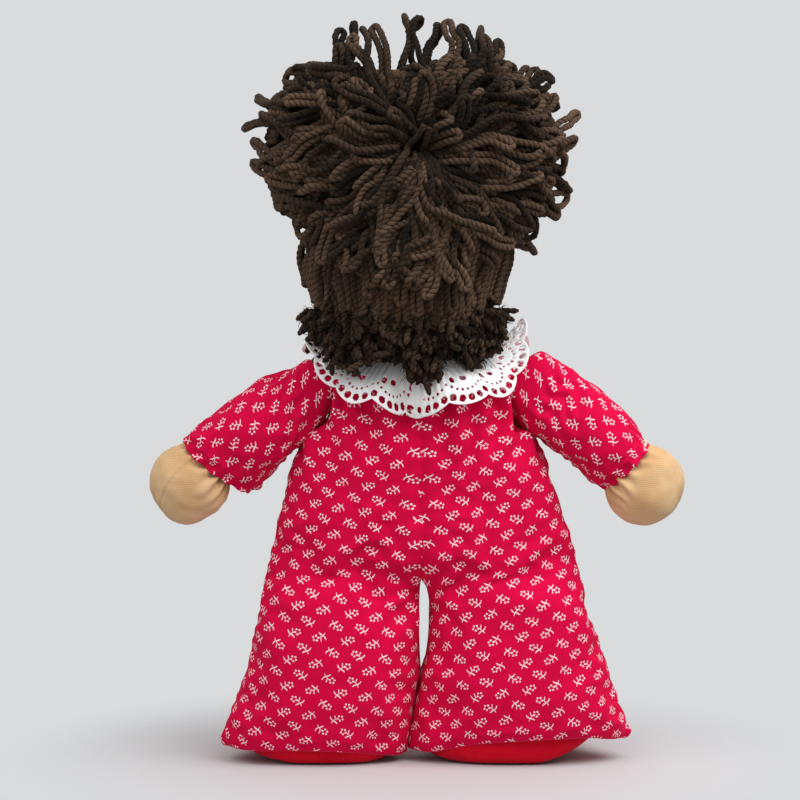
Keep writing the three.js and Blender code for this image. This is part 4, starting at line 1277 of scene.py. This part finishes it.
@dataclass
class Head:
    """The stuffed jersey head on its neck, with an embroidered face."""

    middle: tuple[float, float] = (6.0, 248.75)
    half: tuple[float, float, float] = (42.0, 42.6, 43.0)
    neck: float = 15.0
    rows: int = 92
    columns: int = 120

    def surface(self, turn: Array, z: Array) -> Array:
        """The head's skin at an angle from the front and a height: a rounded squarish ball that runs into the neck.

        Args:
            turn: the angle from the front (-Y) towards the doll's left.
            z: the height.

        Returns:
            Points (..., 3).
        """
        up = np.clip((z - self.middle[1]) / self.half[2], -1, 1)
        level = (1 - np.abs(up) ** 2.3) ** (1 / 2.3)
        stem = self.neck + 5.0 * smooth(206, 218, z) - 1.0 * bell(z - 198, 6)
        lower = z < self.middle[1]
        wide = np.where(lower, np.maximum(self.half[0] * level, np.minimum(stem, 22)), self.half[0] * level)
        deep = np.where(lower, np.maximum(self.half[1] * level, np.minimum(stem, 22)), self.half[1] * level)
        lean = self.middle[0] * smooth(188, 214, z)
        x = lean + wide * np.sin(turn)
        y = -deep * np.cos(turn)
        nose = 4.2 * np.exp(-(((x - 6) / 4.6) ** 2) - (((z - 240.5) / 4.6) ** 2)) * (np.cos(turn) > 0)
        cheek = 1.6 * (np.exp(-(((np.abs(x - 6) - 21) / 11) ** 2) - (((z - 232) / 12) ** 2))) * (np.cos(turn) > 0)
        return np.stack([x, y - nose - cheek * np.cos(turn), z + 0 * x], -1)

    def front(self, x: Array, z: Array) -> Array:
        """Points on the face at given x and height, found by turning to the angle whose skin has that x."""
        turn = np.zeros_like(x)
        for _ in range(12):
            turn = np.clip(turn - (self.surface(turn, z)[..., 0] - x) / 42.0, -1.4, 1.4)
        return self.surface(turn, z)

    def build(self, jersey: Material) -> Object:
        """Makes and places the head and neck skin.

        Args:
            jersey: its cloth.

        Returns:
            The piece.
        """
        rise = np.linspace(0, 1, self.rows)[:, None]
        skull = self.middle[1] - 42.95 * np.cos(math.pi * (rise - 0.2) / 0.8 * 0.992)
        stem = 178 + (206 - 178) * rise / 0.2
        z = np.where(rise < 0.2, stem, np.maximum(skull, 206.0 + 0.4 * (rise - 0.2)))
        turn = np.linspace(-math.pi, math.pi, self.columns, endpoint=False)[None]
        rings = self.surface(turn, z + 0 * turn)
        rings = push(rings, 0.45 * ripple(rings, 30, 101) * smooth(205, 215, z) * smooth(291, 285, z))
        arc = np.concatenate([turn, turn[:, :1] + TURN], 1) * 42 + 0 * z
        rings[..., 1] += MID_Y
        piece = make_tube("head_jersey", rings, np.stack([arc, z + 0 * arc], -1))
        subdivide(piece)
        dress(piece, jersey, ["head_skin", "head_stuffing", "neck_stuffing"])
        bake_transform(piece)
        return piece

    def stitches(self, name: str, starts: Array, ends: Array, thread: float, lift: float) -> Object:
        """Lays embroidery stitches on the face: each is a thin arch of thread between two points of it.

        Args:
            name: the piece's name.
            starts: (n, 2) x and height where each begins.
            ends: (n, 2) where each ends.
            thread: half the thread's thickness.
            lift: how high each arch stands off the skin.

        Returns:
            The piece, without its finish.
        """
        share = np.linspace(0, 1, 7)[None, :, None]
        flat = starts[:, None] + (ends - starts)[:, None] * share
        path = self.front(flat[..., 0], flat[..., 1])
        path[..., 1] += MID_Y
        middle = np.array([self.middle[0], MID_Y, self.middle[1]])
        out = unit(path - middle)
        path = path + out * (thread * 0.4 + lift * np.sin(math.pi * share))
        tangent = unit(np.gradient(path, axis=1))
        sideways = unit(np.cross(tangent, out))
        ring = full_turn(6)[None, ..., None]
        body = thread * (0.55 + 0.45 * np.sin(math.pi * share))[..., None]
        rings = path[:, :, None] + body * (np.cos(ring) * out[:, :, None] + np.sin(ring) * sideways[:, :, None])
        return make_tube(name, rings)

    def face(self, dark: Material, rose: Material) -> None:
        """Embroiders the eyes in satin stitch and the mouth in back stitch.

        Args:
            dark: the eyes' thread.
            rose: the mouth's thread.
        """
        for side, middle in ((Side.LEFT, 22.5), (Side.RIGHT, -10.5)):
            x = np.linspace(-3.1, 3.1, 13)
            tall = 3.3 * np.sqrt(np.clip(1 - (x / 3.4) ** 2, 0, 1))
            starts = np.stack([middle + x, 248.0 - tall], -1)
            ends = np.stack([middle + x, 248.0 + tall], -1)
            eye = self.stitches(f"eye_{side.word}_satin", starts, ends, 0.36, 0.5)
            dress(eye, dark, [f"eye_{side.word}"], "head")
        x = np.linspace(-5.4, 5.4, 8)
        arch = 229.0 - 1.6 + 2.4 * (x / 5.4) ** 2 * 0.9
        line = np.stack([6 + x, arch], -1)
        mouth = self.stitches("mouth_back_stitch", line[:-1], line[1:], 0.42, 0.25)
        dress(mouth, rose, ["mouth"], "head")


@dataclass(frozen=True)
class Yarn:
    """Two-ply yarn: a round section with two low lobes that turn as it goes along."""

    radius: float = 1.55
    twist: float = YARN_TWIST
    lobe: float = 0.1
    sides: int = 8

    def spin(
        self, name: str, path: Array, face: Array, shade: Array, thickness: Array | float = 1.0, seed: int = 1
    ) -> Object:
        """Carries the section along strands: its radius is 1 + lobe * cos(2 * (angle - twist)) times the yarn's.

        The strand's map holds its length and the angle round it, from which the finish draws the two plies.

        Args:
            name: the piece's name.
            path: (strands, points, 3) middle lines.
            face: (strands, points, 3) directions that are never along them.
            shade: (strands, points) for the finish.
            thickness: a factor for each point.
            seed: for where each strand's twist begins.

        Returns:
            The piece, without its finish.
        """
        rng = np.random.default_rng(seed)
        tangent = unit(np.gradient(path, axis=1))
        up = unit(face - (face * tangent).sum(-1, keepdims=True) * tangent)
        side = np.cross(tangent, up)
        gone = arc_lengths(path) + rng.uniform(0, 400, (len(path), 1))
        angle = full_turn(self.sides)[0]
        swell = 1 + self.lobe * np.cos(2 * (angle - TURN * gone[..., None] / self.twist))
        reach = self.radius * swell * (np.ones(gone.shape) * thickness)[..., None]
        reach = reach * (1 + 0.05 * rng.normal(size=reach.shape))
        rings = path[:, :, None] + reach[..., None] * (
            np.cos(angle)[:, None] * up[:, :, None] + np.sin(angle)[:, None] * side[:, :, None]
        )
        cloth = np.stack(np.broadcast_arrays(gone[..., None], np.linspace(0, TURN, self.sides + 1)), -1)
        return make_tube(name, rings, cloth, np.repeat(shade[..., None], self.sides, -1))

    def hairpins(
        self, name: str, line: Array, side: Array, wide: Array, turn: Array, shade: Array, points: int, seed: int
    ) -> Object:
        """Doubles middle lines into loops: out along one side, round the tip and back along the other.

        Args:
            name: the piece's name.
            line: (loops, samples, 3) middle lines from root to tip.
            side: (loops, 3) the way across each.
            wide: (loops,) the most that a loop opens beyond its yarn.
            turn: (loops,) how far its two strands wind about each other.
            shade: (loops,) for the finish.
            points: how many rings a loop has.
            seed: for the strands.

        Returns:
            The piece, without its finish.
        """
        samples = line.shape[1]
        total = arc_lengths(line)[:, -1:]
        tip = self.radius * 1.08 + 0.35 * wide[:, None]
        straight = total - tip
        run = 2 * straight + math.pi * tip
        way = np.linspace(0, 1, points)[None] * run
        bend = np.clip((way - straight) / tip, 0, math.pi)
        home = np.where(way > run - straight, run - way, straight + tip * np.sin(bend))
        along = np.where(way < straight, way, home)
        part = np.clip(along / total, 0, 1)
        near = self.radius * 0.95
        half = near + (tip - near) * smooth(0.5, 1.0, along / straight)
        half = half + wide[:, None] * np.sin(part * math.pi) ** 1.5
        off = -np.cos(bend) * half
        place = part * (samples - 1)
        low = np.clip(place.astype(int), 0, samples - 2)
        mix = (place - low)[..., None]
        rows = np.arange(len(line))[:, None]
        centre = line[rows, low] * (1 - mix) + line[rows, low + 1] * mix
        heading = unit(np.gradient(line, axis=1))
        heading = unit(heading[rows, low] * (1 - mix) + heading[rows, low + 1] * mix)
        centre = centre + heading * np.maximum(along - total, 0)[..., None]
        across = unit(side[:, None] - (side[:, None] * heading).sum(-1, keepdims=True) * heading)
        normal = np.cross(heading, across)
        wind = (turn[:, None] * part)[..., None]
        path = centre + (across * np.cos(wind) + normal * np.sin(wind)) * off[..., None]
        face = normal * np.cos(wind) - across * np.sin(wind)
        # Painted highlight: the last part of each loop, round its tip, is made lighter by 0.25.
        return self.spin(name, path, face, shade[:, None] + 0.25 * smooth(0.7, 1.0, part), 1.0, seed)


@dataclass(frozen=True)
class Lock:
    """One family of crown loops. Angles are in degrees round the crown from the doll's left, upwards."""

    name: str
    count: int
    turns: tuple[float, float]
    start: tuple[float, float]
    stop: tuple[float, float]
    depth: float
    seed: int
    points: int
    rim: bool = False


@dataclass
class Hair:
    """Wool-yarn hair: loops round the crown, strands down the back, cut tufts at the nape and a fringe."""

    crown: tuple[float, float] = (1.0, 289.0)
    yarn: Yarn = Yarn()
    turns: tuple[float, ...] = (
        -90, -55, -30, -10, 8, 25, 36, 45, 56, 66, 80, 90, 106, 118, 130, 150, 170, 185, 205, 225, 245, 270,
    )
    mass: tuple[float, ...] = (60, 60, 61, 62, 63, 64, 57, 49, 42, 38, 36, 37, 41, 46, 51, 58, 62, 61, 60, 60, 60, 60)
    tips: tuple[float, ...] = (64, 68, 71, 77, 82, 71, 69, 69, 66, 64, 62, 60, 61, 61, 63, 67, 73, 76, 71, 73, 66, 64)
    deepest: float = 66.8  # no crown loop's middle line goes further back
    locks: tuple[Lock, ...] = (
        Lock("hair_crown_rim_left", 32, (-38, 56), (0.2, 0.4), (0.86, 1.03), 6.0, 201, 118, True),
        Lock("hair_crown_rim_right", 32, (124, 228), (0.2, 0.4), (0.86, 1.03), 6.0, 205, 118, True),
        Lock("hair_crown_upright", 9, (60, 120), (0.2, 0.4), (0.93, 1.0), 3.0, 209, 96, True),
        Lock("hair_crown_deep", 116, (-90, 270), (0.14, 0.26), (0.84, 1.08), 5.0, 211, 90),
        Lock("hair_crown_middle", 58, (-90, 270), (0.08, 0.18), (0.66, 1.04), 1.0, 221, 84),
        Lock("hair_crown_over", 24, (-90, 270), (0.05, 0.2), (0.34, 0.9), -2.0, 227, 64),
        Lock("hair_crown_cross", 9, (-60, 240), (-0.3, -0.1), (0.3, 0.7), -3.0, 239, 64),
        Lock("hair_crown_falling", 26, (215, 325), (0.08, 0.3), (0.8, 1.12), 0.0, 229, 80),
    )

    def dome(self, turn: Array, share: Array, rim: bool) -> Array:
        """A point of the hair's back seen as a dome: share runs from the crown out to the mass or the tips.

        Its height behind the middle is that of a flattened ball, less a hollow at the crown.

        Args:
            turn: the angle round the crown, in radians.
            share: how far out.
            rim: whether it runs out to the tips.

        Returns:
            Points (..., 3).
        """
        turn, share = np.broadcast_arrays(turn, share)
        angle = (np.degrees(turn) + 90) % 360 - 90
        mass, tips = np.interp(angle, self.turns, self.mass), np.interp(angle, self.turns, self.tips)
        radius = share * (tips if rim else mass)
        level = np.clip(1 - (np.abs(radius) / (tips * 1.02)) ** 2.3, 0, 1) ** 0.5
        low = smooth(-25, -62, angle) + smooth(205, 242, angle)
        x = self.crown[0] + radius * np.cos(turn)
        hanging = 56.5 * np.sqrt(np.clip(1 - ((x - 6) / 58) ** 2, 0.08, 1))
        y = MID_Y + 4 + 49 * level * (1 - low) + hanging * low - 15 * bell(radius, 8.5)
        return np.stack([x, y, self.crown[1] + radius * np.sin(turn)], -1)

    def crown_loops(self, wool: Material) -> None:
        """Lays each family of loops over the dome, from near the crown to their tips."""
        for lock in self.locks:
            rng = np.random.default_rng(lock.seed)
            count = lock.count
            share = np.linspace(0, 1, 26)[None]
            place = scattered(count)
            base = np.radians(lock.turns[0] + (lock.turns[1] - lock.turns[0]) * place)[:, None]
            base = base + rng.normal(0, 0.04, (count, 1))
            first, last = rng.uniform(*lock.start, (count, 1)), rng.uniform(*lock.stop, (count, 1))
            swing = rng.normal(0, 0.12 if lock.rim else 0.3 if lock.depth < 4 else 0.18, (count, 1))
            turn = base + swing * (share - 0.3) + 0.13 * np.sin(4 * share + rng.uniform(0, 6, (count, 1)))
            line = self.dome(turn, first + (last - first) * share, lock.rim)
            under = lock.depth + rng.normal(0, 1.6, (count, 1))
            stand = rng.uniform(-15, 9, (count, 1)) if lock.rim else rng.uniform(0, 8, (count, 1)) * share
            line[..., 1] += stand * share**2 - under * (1 - 0.5 * share)
            line = wander(line, 1.2, 20, [lock.seed + k for k in (1, 2, 3)])
            line[..., 1] = np.minimum(line[..., 1], self.deepest)
            roll = rng.uniform(-1.4, 1.4, (count, 1))
            side = np.stack([-np.sin(base) * np.cos(roll), np.sin(roll), np.cos(base) * np.cos(roll)], -1)[:, 0]
            open_ones = rng.uniform(size=count) < (0.3 if lock.rim else 0.1)
            wide = np.where(open_ones, rng.uniform(1.5, 4.5, count), rng.uniform(0, 0.3, count))
            # Painted shade: loops on the upper half of the crown get a lower shade, up to 0.34 less at the top.
            piece = self.yarn.hairpins(
                lock.name, line, side, wide, rng.normal(0, 1.2, count),
                rng.uniform(-0.4, 0.5, count) - 0.34 * np.clip(np.sin(base[:, 0]), 0, 1), lock.points, lock.seed,
            )
            dress(piece, wool, ["hair_crown"], "head")

    def front_loops(self, wool: Material) -> None:
        """Makes the loops over the front half: they start on top, swell forwards and end over the forehead.

        Each runs over a half ball in front of the crown; some of them stand away from it.
        """
        layers = (("hair_front_under", 110, 241, 0.94, 4), ("hair_front_over", 90, 251, 1.0, 13))
        for name, count, seed, reach, wild in layers:
            rng = np.random.default_rng(seed)
            share = np.linspace(0, 1, 26)[None]
            place = scattered(count)
            base = np.radians(-22 + 224 * place)[:, None] + rng.normal(0, 0.04, (count, 1))
            first, last = rng.uniform(-0.45, 0.15, (count, 1)), rng.uniform(0.7, 1.5, (count, 1))
            polar = first + (last - first) * share
            turn = base + rng.normal(0, 0.16, (count, 1)) * share
            angle = np.degrees(turn)
            side_way = np.interp(angle, self.turns, self.mass) * 1.06 + 1
            out = rng.uniform(0, 1, (count, 1)) ** 2 * wild * share**2.5 * (1 - 0.8 * bell(angle - 90, 40))
            radius = (side_way * reach + out) * np.cos(polar * 0.98)
            y = MID_Y + 3 - (50 * reach + out) * np.sin(polar)
            z = self.crown[1] - 4 + radius * np.sin(turn) - 12 * smooth(0.8, 1.5, polar)
            line = np.stack([4 + radius * np.cos(turn), y, z], -1)
            lift = smooth(262, 250, line[..., 2]) * smooth(-10, -30, line[..., 1])
            line[..., 2] += 10 * lift
            line = wander(line, 0.9, 18, [seed + k for k in (1, 2, 3)])
            side = np.stack([-np.sin(base), 0 * base, np.cos(base)], -1)[:, 0]
            side = unit(side + 0.3 * rng.normal(size=side.shape))
            piece = self.yarn.hairpins(
                name, line, side, rng.uniform(0, 0.5, count), rng.normal(0, 1.2, count),
                rng.uniform(0, 0.4, count), 80, seed,
            )
            dress(piece, wool, ["hair_crown"], "head")

    def back_strands(self, wool: Material) -> None:
        """Makes the strands down the back of the head, in layers whose loop ends stop at different heights.

        A strand starts under the crown, spreads to its own place across the head and hangs over a rounded back.
        """
        layers = (("hair_back_under", 62, (207, 216), 0.0, 301), ("hair_back_over", 58, (212, 246), 3.0, 311))
        for name, count, ends, out, seed in layers:
            rng = np.random.default_rng(seed)
            share = np.linspace(0, 1, 28)[None]
            place = np.linspace(-1, 1, count)[:, None] + rng.normal(0, 0.035, (count, 1))
            top = 278 + 6 * rng.uniform(size=(count, 1)) - 16 * place**2
            low = rng.uniform(*ends, (count, 1)) + 8 * np.abs(place) ** 3
            spread = 46.5 + 1.5 * rng.normal(size=(count, 1)) - 4.0 * (place < -0.5)
            x = 3.0 + place * (13 + (spread - 13) * smooth(0, 0.5, share) - 3.5 * smooth(0.6, 1, share)) + 4.5 * share
            z = top + (low - top) * share
            round_it = np.sqrt(np.clip(1 - (0.93 * place * smooth(0, 0.5, share)) ** 2, 0.02, 1))
            deep = np.interp(z, (200, 212, 226, 245, 268, 285), (39, 44.5, 48.5, 50.5, 51, 44))
            y = MID_Y + deep * round_it + out + 3.0 * (share**3) * rng.uniform(-0.4, 1, (count, 1))
            line = np.stack([x, y, z], -1)
            line = wander(line, 0.9, 24, [seed + k for k in (1, 2, 3)])
            side = np.stack([np.cos(place[:, 0]), -np.sin(place[:, 0]), 0 * place[:, 0]], -1)
            piece = self.yarn.hairpins(
                name, line, side, rng.uniform(0, 0.3, count), rng.normal(0, 0.5, count),
                rng.uniform(-0.15, 0.45, count), 108, seed,
            )
            dress(piece, wool, ["hair_back"], "head")

    def tufts(
        self, name: str, roots: Array, ways: Array, lengths: Array, wool: Material, node: str, seed: int,
        thick: float = 0.7, rings: int = 10,
    ) -> None:
        """Makes short cut ends of yarn or single fibres that bend and thin out towards their tips.

        Args:
            name: the piece's name.
            roots: (n, 3) where they start.
            ways: (n, 3) where they point.
            lengths: (n,) how long they are.
            wool: their finish.
            node: the node that they stand for.
            seed: for their bends.
            thick: a factor for their thickness.
            rings: how many rings each has.
        """
        rng = np.random.default_rng(seed)
        share = np.linspace(0, 1, rings)[None, :, None]
        bend = unit(np.cross(ways, rng.normal(size=ways.shape)))
        path = roots[:, None] + ways[:, None] * lengths[:, None, None] * share
        path = path + bend[:, None] * (lengths[:, None, None] * rng.uniform(0.05, 0.4, (len(roots), 1, 1))) * share**2
        body = thick * (1 + 0.35 * share[..., 0]) * (1 - 0.65 * smooth(0.8, 1.0, share[..., 0]))
        shade = rng.uniform(-0.32, 0.26, (len(roots), 1)) + 0.1 * share[..., 0]
        yarn = self.yarn if thick > THIN else Yarn(sides=3, lobe=0.0)
        piece = yarn.spin(name, path, np.repeat(bend[:, None], rings, 1), shade, body, seed)
        dress(piece, wool, [node], "head")

    def nape(self, wool: Material) -> None:
        """Makes the cut tufts over the nape, in two clumps that part left of the middle, and their loose fibres."""
        bundles = 110
        rng = np.random.default_rng(401)
        place = scattered(bundles) * 2 - 1
        level = rng.uniform(0, 1, bundles) ** 1.1
        turn = place * 1.4
        clump = np.where(place < -0.12, 0.4 * bell(place + 0.62, 0.45), 1.0 * bell(place - 0.28, 0.3) + 0.35)
        deep = 34.5 + 5 * level + 5 * clump
        low = 195 + 9 * place**6 - 8.0 * bell(place + 0.16, 0.1) + 9.0 * bell(place - 0.16, 0.14)
        x, y = 7.0 + 1.08 * deep * np.sin(turn), MID_Y + deep * np.cos(turn)
        roots = np.stack([x, y, low + (215 - low) * level], -1)
        ways = unit(np.stack([0.35 * np.sin(turn), 0.5 * np.cos(turn), np.full(bundles, -0.9)], -1))
        ways = unit(ways + 0.35 * rng.normal(size=ways.shape))
        for name, count, seed, long_ones, thick in (
            ("hair_nape_tufts", 900, 403, (5, 9), 0.72), ("hair_nape_fuzz", 7300, 411, (2.5, 7), 0.08),
        ):
            rng = np.random.default_rng(seed)
            own = rng.integers(0, bundles, count)
            starts = np.clip(roots[own] + rng.normal(0, 2.8, (count, 3)), (-37.5, 0, 0), (56, 99, 214))
            leaning = unit(ways[own] + (0.3 if thick > THIN else 0.7) * rng.normal(size=(count, 3)))
            lengths = rng.uniform(*long_ones, count)
            rings = 10 if thick > THIN else 5
            self.tufts(name, starts, leaning, lengths, wool, "hair_nape", seed + 2, thick, rings)

    def fringe(self, wool: Material) -> None:
        """Makes loops that fall over the forehead, shorter in the middle."""
        rng = np.random.default_rng(501)
        count = 40
        share = np.linspace(0, 1, 20)[None]
        place = np.linspace(-1, 1, count)[:, None] + rng.normal(0, 0.02, (count, 1))
        turn = place * 1.2 + 0.06 * rng.normal(size=(count, 1)) * share
        z = 284 + (rng.uniform(252, 260, (count, 1)) - 9 * np.abs(place) ** 2.5 - 284) * share
        deep = np.interp(z, (240, 252, 262, 272, 284), (44.5, 46.0, 47, 46, 41))
        line = np.stack([6 + deep * np.sin(turn), MID_Y - deep * np.cos(turn) - 1.0 * share, z], -1)
        line = wander(line, 0.6, 16, (511, 512, 513))
        side = np.stack([np.cos(turn[:, 0]), np.sin(turn[:, 0]), 0 * turn[:, 0]], -1)
        piece = self.yarn.hairpins(
            "hair_fringe_loops", line, side, rng.uniform(0, 0.4, count), rng.normal(0, 0.6, count),
            rng.uniform(0.05, 0.4, count), 52, 503,
        )
        dress(piece, wool, ["hair_fringe"], "head")

    def base(self, wool: Material) -> None:
        """Makes the mat of yarn under the loops: the dome, its front and the back of the head, ridged, drawn dark as
        painted shade under the loops.
        """
        rows, columns = 48, 120
        turn = np.linspace(-math.pi / 2, 3 * math.pi / 2, columns, endpoint=False)[None]
        share = np.sin(np.linspace(0.02, 1, rows // 2)[:, None] * math.pi / 2) * 0.8
        back = self.dome(turn, share, False) - np.array([0, 10.0, 0])
        polar = np.linspace(0.08, 1.5, rows // 2)[:, None]
        rim = back[-1:]
        middle = np.array([4.0, 0.0, self.crown[1] - 3])
        front = middle + (rim - middle) * np.cos(polar)[..., None] * np.array([1, 0, 1])
        front[..., 1] = rim[..., 1] - (rim[..., 1] + 40) * np.sin(polar)
        front[..., 2] = np.maximum(front[..., 2], 262 + 0 * front[..., 2])
        rings = np.concatenate([back, front])
        ridge = 1.3 * np.sin(40 * turn + 3 * np.sin(rings[..., 1] / 12))
        off_crown = np.abs(rings[..., 0] - self.crown[0]) + np.abs(rings[..., 2] - self.crown[1])
        rings = push(rings, (ridge + 0.8 * ripple(rings, 7, 601)) * smooth(3, 20, off_crown))
        # Its low shade value of -0.25 paints the shade under the crown loops.
        ball = make_tube("hair_base_crown", rings, None, np.full(rings.shape[:2], -0.25))
        dress(ball, wool, body="head")
        z = np.linspace(190, 284, 47)[:, None]
        arc = full_turn(columns)
        swell = np.interp(z, (190, 196, 201, 210, 225, 250, 284), (24, 29, 33, 38, 43.5, 46, 43))
        depth = np.where(np.sin(arc) > 0, swell + 0.5, 8.0)
        rings = np.stack([6.5 + swell * np.cos(arc), MID_Y + depth * np.sin(arc), z + 0 * arc], -1)
        rings = push(rings, 0.9 * np.sin(46 * arc + 2 * np.sin(z / 9)) * (np.sin(arc) > 0))
        # Its low shade value of -0.2 paints the shade under the back strands.
        back = make_tube("hair_base_back", rings, None, np.full(rings.shape[:2], -0.2))
        dress(back, wool, body="head")


@dataclass
class Studio:
    """Pale floor, soft light and the camera behind the doll."""

    background: str = "#D9DBDD"
    ambient: float = 0.37
    floor: str = "#C0BEC0"
    target: tuple[float, float, float] = (9.9, MID_Y, 170.6)
    distance: float = 1600.0
    elevation: float = 5.0
    lens: float = 153.2
    box_size: float = 0.8
    box_distance: float = 0.9
    box_target: float = 0.26

    def build(self) -> None:
        """Sets up the world, lamps, floor and camera."""
        self.world()
        self.softbox("key", -56.0, 46.0, 10.4)
        self.softbox("fill", 46.0, 40.0, 4.0)
        self.lamp("low", 0.0, 12.0, 0.45, 90.0)
        self.lamp("front", 180.0, 45.0, 0.6, 80.0)
        self.ground()
        self.camera()

    def world(self) -> None:
        """Even light from all round, and the plain background where the camera looks past the doll."""
        world = bpy.data.worlds.new("studio")
        bpy.context.scene.world = world
        world.use_nodes = True
        tree = world.node_tree
        tree.nodes.clear()
        rays = add_node(tree, "LightPath").node.outputs
        either = add_node(tree, "Math.MAXIMUM", [rays["Is Camera Ray"], rays["Is Glossy Ray"]])
        any_ray = add_node(tree, "Math.MAXIMUM", [either, rays["Is Transmission Ray"]])
        light = add_node(tree, "Background", [linear("#FFFFFF"), self.ambient])
        shown = add_node(tree, "Background", [linear(self.background), 1.0])
        add_node(tree, "OutputWorld", [add_node(tree, "MixShader", [any_ray, light, shown])])

    def lamp(self, name: str, around: float, up: float, strength: float, spread: float) -> None:
        """Adds a soft sun.

        Args:
            name: its name.
            around: where it stands, in degrees from straight behind the doll towards the doll's left.
            up: how high, in degrees.
            strength: its light.
            spread: how wide it is, in degrees.
        """
        data = bpy.data.lights.new(name, "SUN")
        data.energy, data.angle = strength, math.radians(spread)
        self.stand(name, data, self.way(around, up), Vector())

    @staticmethod
    def stand(name: str, data: bpy.types.ID, way: Vector, place: Vector) -> Object:
        """Puts a lamp or camera in the scene, so that it looks against the given direction.

        Args:
            name: its name.
            data: the lamp's or camera's own data.
            way: the direction from what it looks at.
            place: where it stands, in metres.

        Returns:
            The object.
        """
        thing = bpy.data.objects.new(name, data)
        thing.location = place
        thing.rotation_euler = way.to_track_quat("Z", "Y").to_euler()
        bpy.context.scene.collection.objects.link(thing)
        return thing

    @staticmethod
    def way(around: float, up: float) -> Vector:
        """The direction of a lamp that stands so far round and so high, in degrees."""
        a, e = math.radians(around), math.radians(up)
        return Vector((math.sin(a) * math.cos(e), math.cos(a) * math.cos(e), math.sin(e)))

    def softbox(self, name: str, around: float, up: float, power_watts: float) -> None:
        """Adds a square lamp that stands near, so that its light falls off from the shoulders to the feet.

        Args:
            name: its name.
            around: where it stands, in degrees from straight behind the doll towards the doll's left.
            up: how high, in degrees.
            power_watts: its power.
        """
        data = bpy.data.lights.new(name, "AREA")
        data.energy, data.size = power_watts, self.box_size
        way = self.way(around, up)
        self.stand(name, data, way, Vector((0.0, 0.0, self.box_target)) + way * self.box_distance)

    def ground(self) -> None:
        """Makes the floor, a pale matt disc that fades into the background away from the doll."""
        turn = full_turn(96)[0]
        radius = np.array([0.5, 120, 260, 420, 700, 1100])[:, None]
        points = np.stack([radius * np.cos(turn), radius * np.sin(turn), 0 * radius + 0 * turn - 0.15], -1)
        number = np.arange(points.shape[0] * points.shape[1]).reshape(points.shape[:2])
        floor = make_piece("floor", points, [closed_faces(points.shape[:2])[:, ::-1], number[:1, ::-1]], closed=False)
        material = bpy.data.materials.new("matt_paper")
        material.use_nodes = True
        tree = material.node_tree
        tree.nodes.clear()
        where = add_node(tree, "TexCoord").node.outputs["Object"]
        far = add_node(tree, "VectorMath.LENGTH", [where])
        fade = add_node(tree, "MapRange.SMOOTHSTEP", [far, 0.09, 0.21, 0.0, 1.0])
        matt = add_node(tree, "BsdfDiffuse", [linear(self.floor)])
        clear = add_node(tree, "BsdfTransparent")
        add_node(tree, "OutputMaterial", [add_node(tree, "MixShader", [fade, matt, clear])])
        floor.data.materials.append(material)

    def camera(self) -> None:
        """Places the camera at the photograph's height and distance."""
        data = bpy.data.cameras.new("camera")
        data.lens, data.sensor_width = self.lens, 36.0
        data.clip_start, data.clip_end = 0.05, 20.0
        back = self.way(0.0, self.elevation)
        place = Vector(self.target) * MM + back * self.distance * MM
        bpy.context.scene.camera = self.stand("camera", data, back, place)


def neck_tape(finish: Material) -> None:
    """Makes the neck binding: a folded tape, a flat oval carried round the neck and puckered by its gathers."""
    turn = full_turn(160).T
    ring = full_turn(12)
    radius = 20.6 + 0.9 * np.cos(ring) + 0.12 * np.sin(48 * turn)
    height = 189.8 + 1.3 * np.sin(ring) + 0.1 * np.sin(31 * turn)
    rings = np.stack([radius * np.cos(turn), MID_Y + radius * np.sin(turn), height], -1)
    number = np.arange(160 * 12).reshape(160, 12)
    wrapped = np.concatenate([number, number[:1]])
    wrapped = np.concatenate([wrapped, wrapped[:, :1]], 1)
    piece = make_piece("neck_binding_tape", rings, [cells(wrapped[..., None])[..., 0]])
    dress(piece, finish, ["neck_binding"], "torso")


def main() -> None:
    """Builds every sub-assembly in turn."""
    logging.basicConfig(level=logging.INFO, format="%(name)s %(message)s")
    scene = bpy.context.scene
    scene.view_settings.view_transform = "Standard"
    Studio().build()
    calico = Calico().material()
    jersey = Ribbed().material()
    face_jersey = Ribbed(name="face_jersey", blush=((26.0, -33.0, 236.0), (-14.0, -33.0, 236.0))).material()
    twill = Ribbed(
        name="red_cotton_twill", light="#D60A28", dark="#BC0620", rib=0.8, slant=0.8, depth=0.14, sheen=0.03
    ).material()
    soles = Ribbed(
        name="red_cotton_sole", light="#B00418", dark="#900212", rib=0.8, slant=-0.8, sheen=0.03
    ).material()
    lace = Cotton(through=0.25).material()
    linen = Cotton(name="linen_thread", colour="#E3D6BE", shade="#CDBB9A", grain=0.3).material()
    dark_thread = Cotton(name="brown_thread", colour="#33241C", shade="#1E1510", grain=0.3).material()
    eye_thread = Cotton(name="dark_embroidery_cotton", colour="#2B201C", shade="#1A1310", grain=0.3).material()
    rose_thread = Cotton(name="rose_embroidery_cotton", colour="#B8404A", shade="#A23540", grain=0.3).material()
    wool = Wool().material()
    for side in Side:
        RomperHalf(side).build(calico)
        Sleeve(side).build(calico)
        Hand(side).build(jersey)
        Slipper(side).build(twill, soles)
        middle = (side.value * 100.06, MID_Y, 142.25)
        WoundThread(
            f"wrist_thread_{side.word}", f"hand_{side.word}", f"wrist_tie_{side.word}", "linen_thread",
            middle, (side.value * 0.866, 0.0, -0.5), 11.0,
        ).build(linen)
    neck_tape(lace)
    Collar().build(lace)
    head = Head()
    head.build(face_jersey)
    head.face(eye_thread, rose_thread)
    WoundThread(
        "neck_thread", "neck_thread", "neck_tie", "linen_thread", (0, MID_Y, 189.0), (0, 0, 1), 16.4
    ).build(linen)
    WoundThread(
        "crown_thread", "head", "hair_tie_thread", "brown_yarn", (1.0, 41.0, 288.5), (0, 1, 0), 4.0, 0.4
    ).build(dark_thread)
    hair = Hair()
    hair.base(wool)
    hair.crown_loops(wool)
    hair.front_loops(wool)
    hair.back_strands(wool)
    hair.nape(wool)
    hair.fringe(wool)


if __name__ == "__main__":
    main()
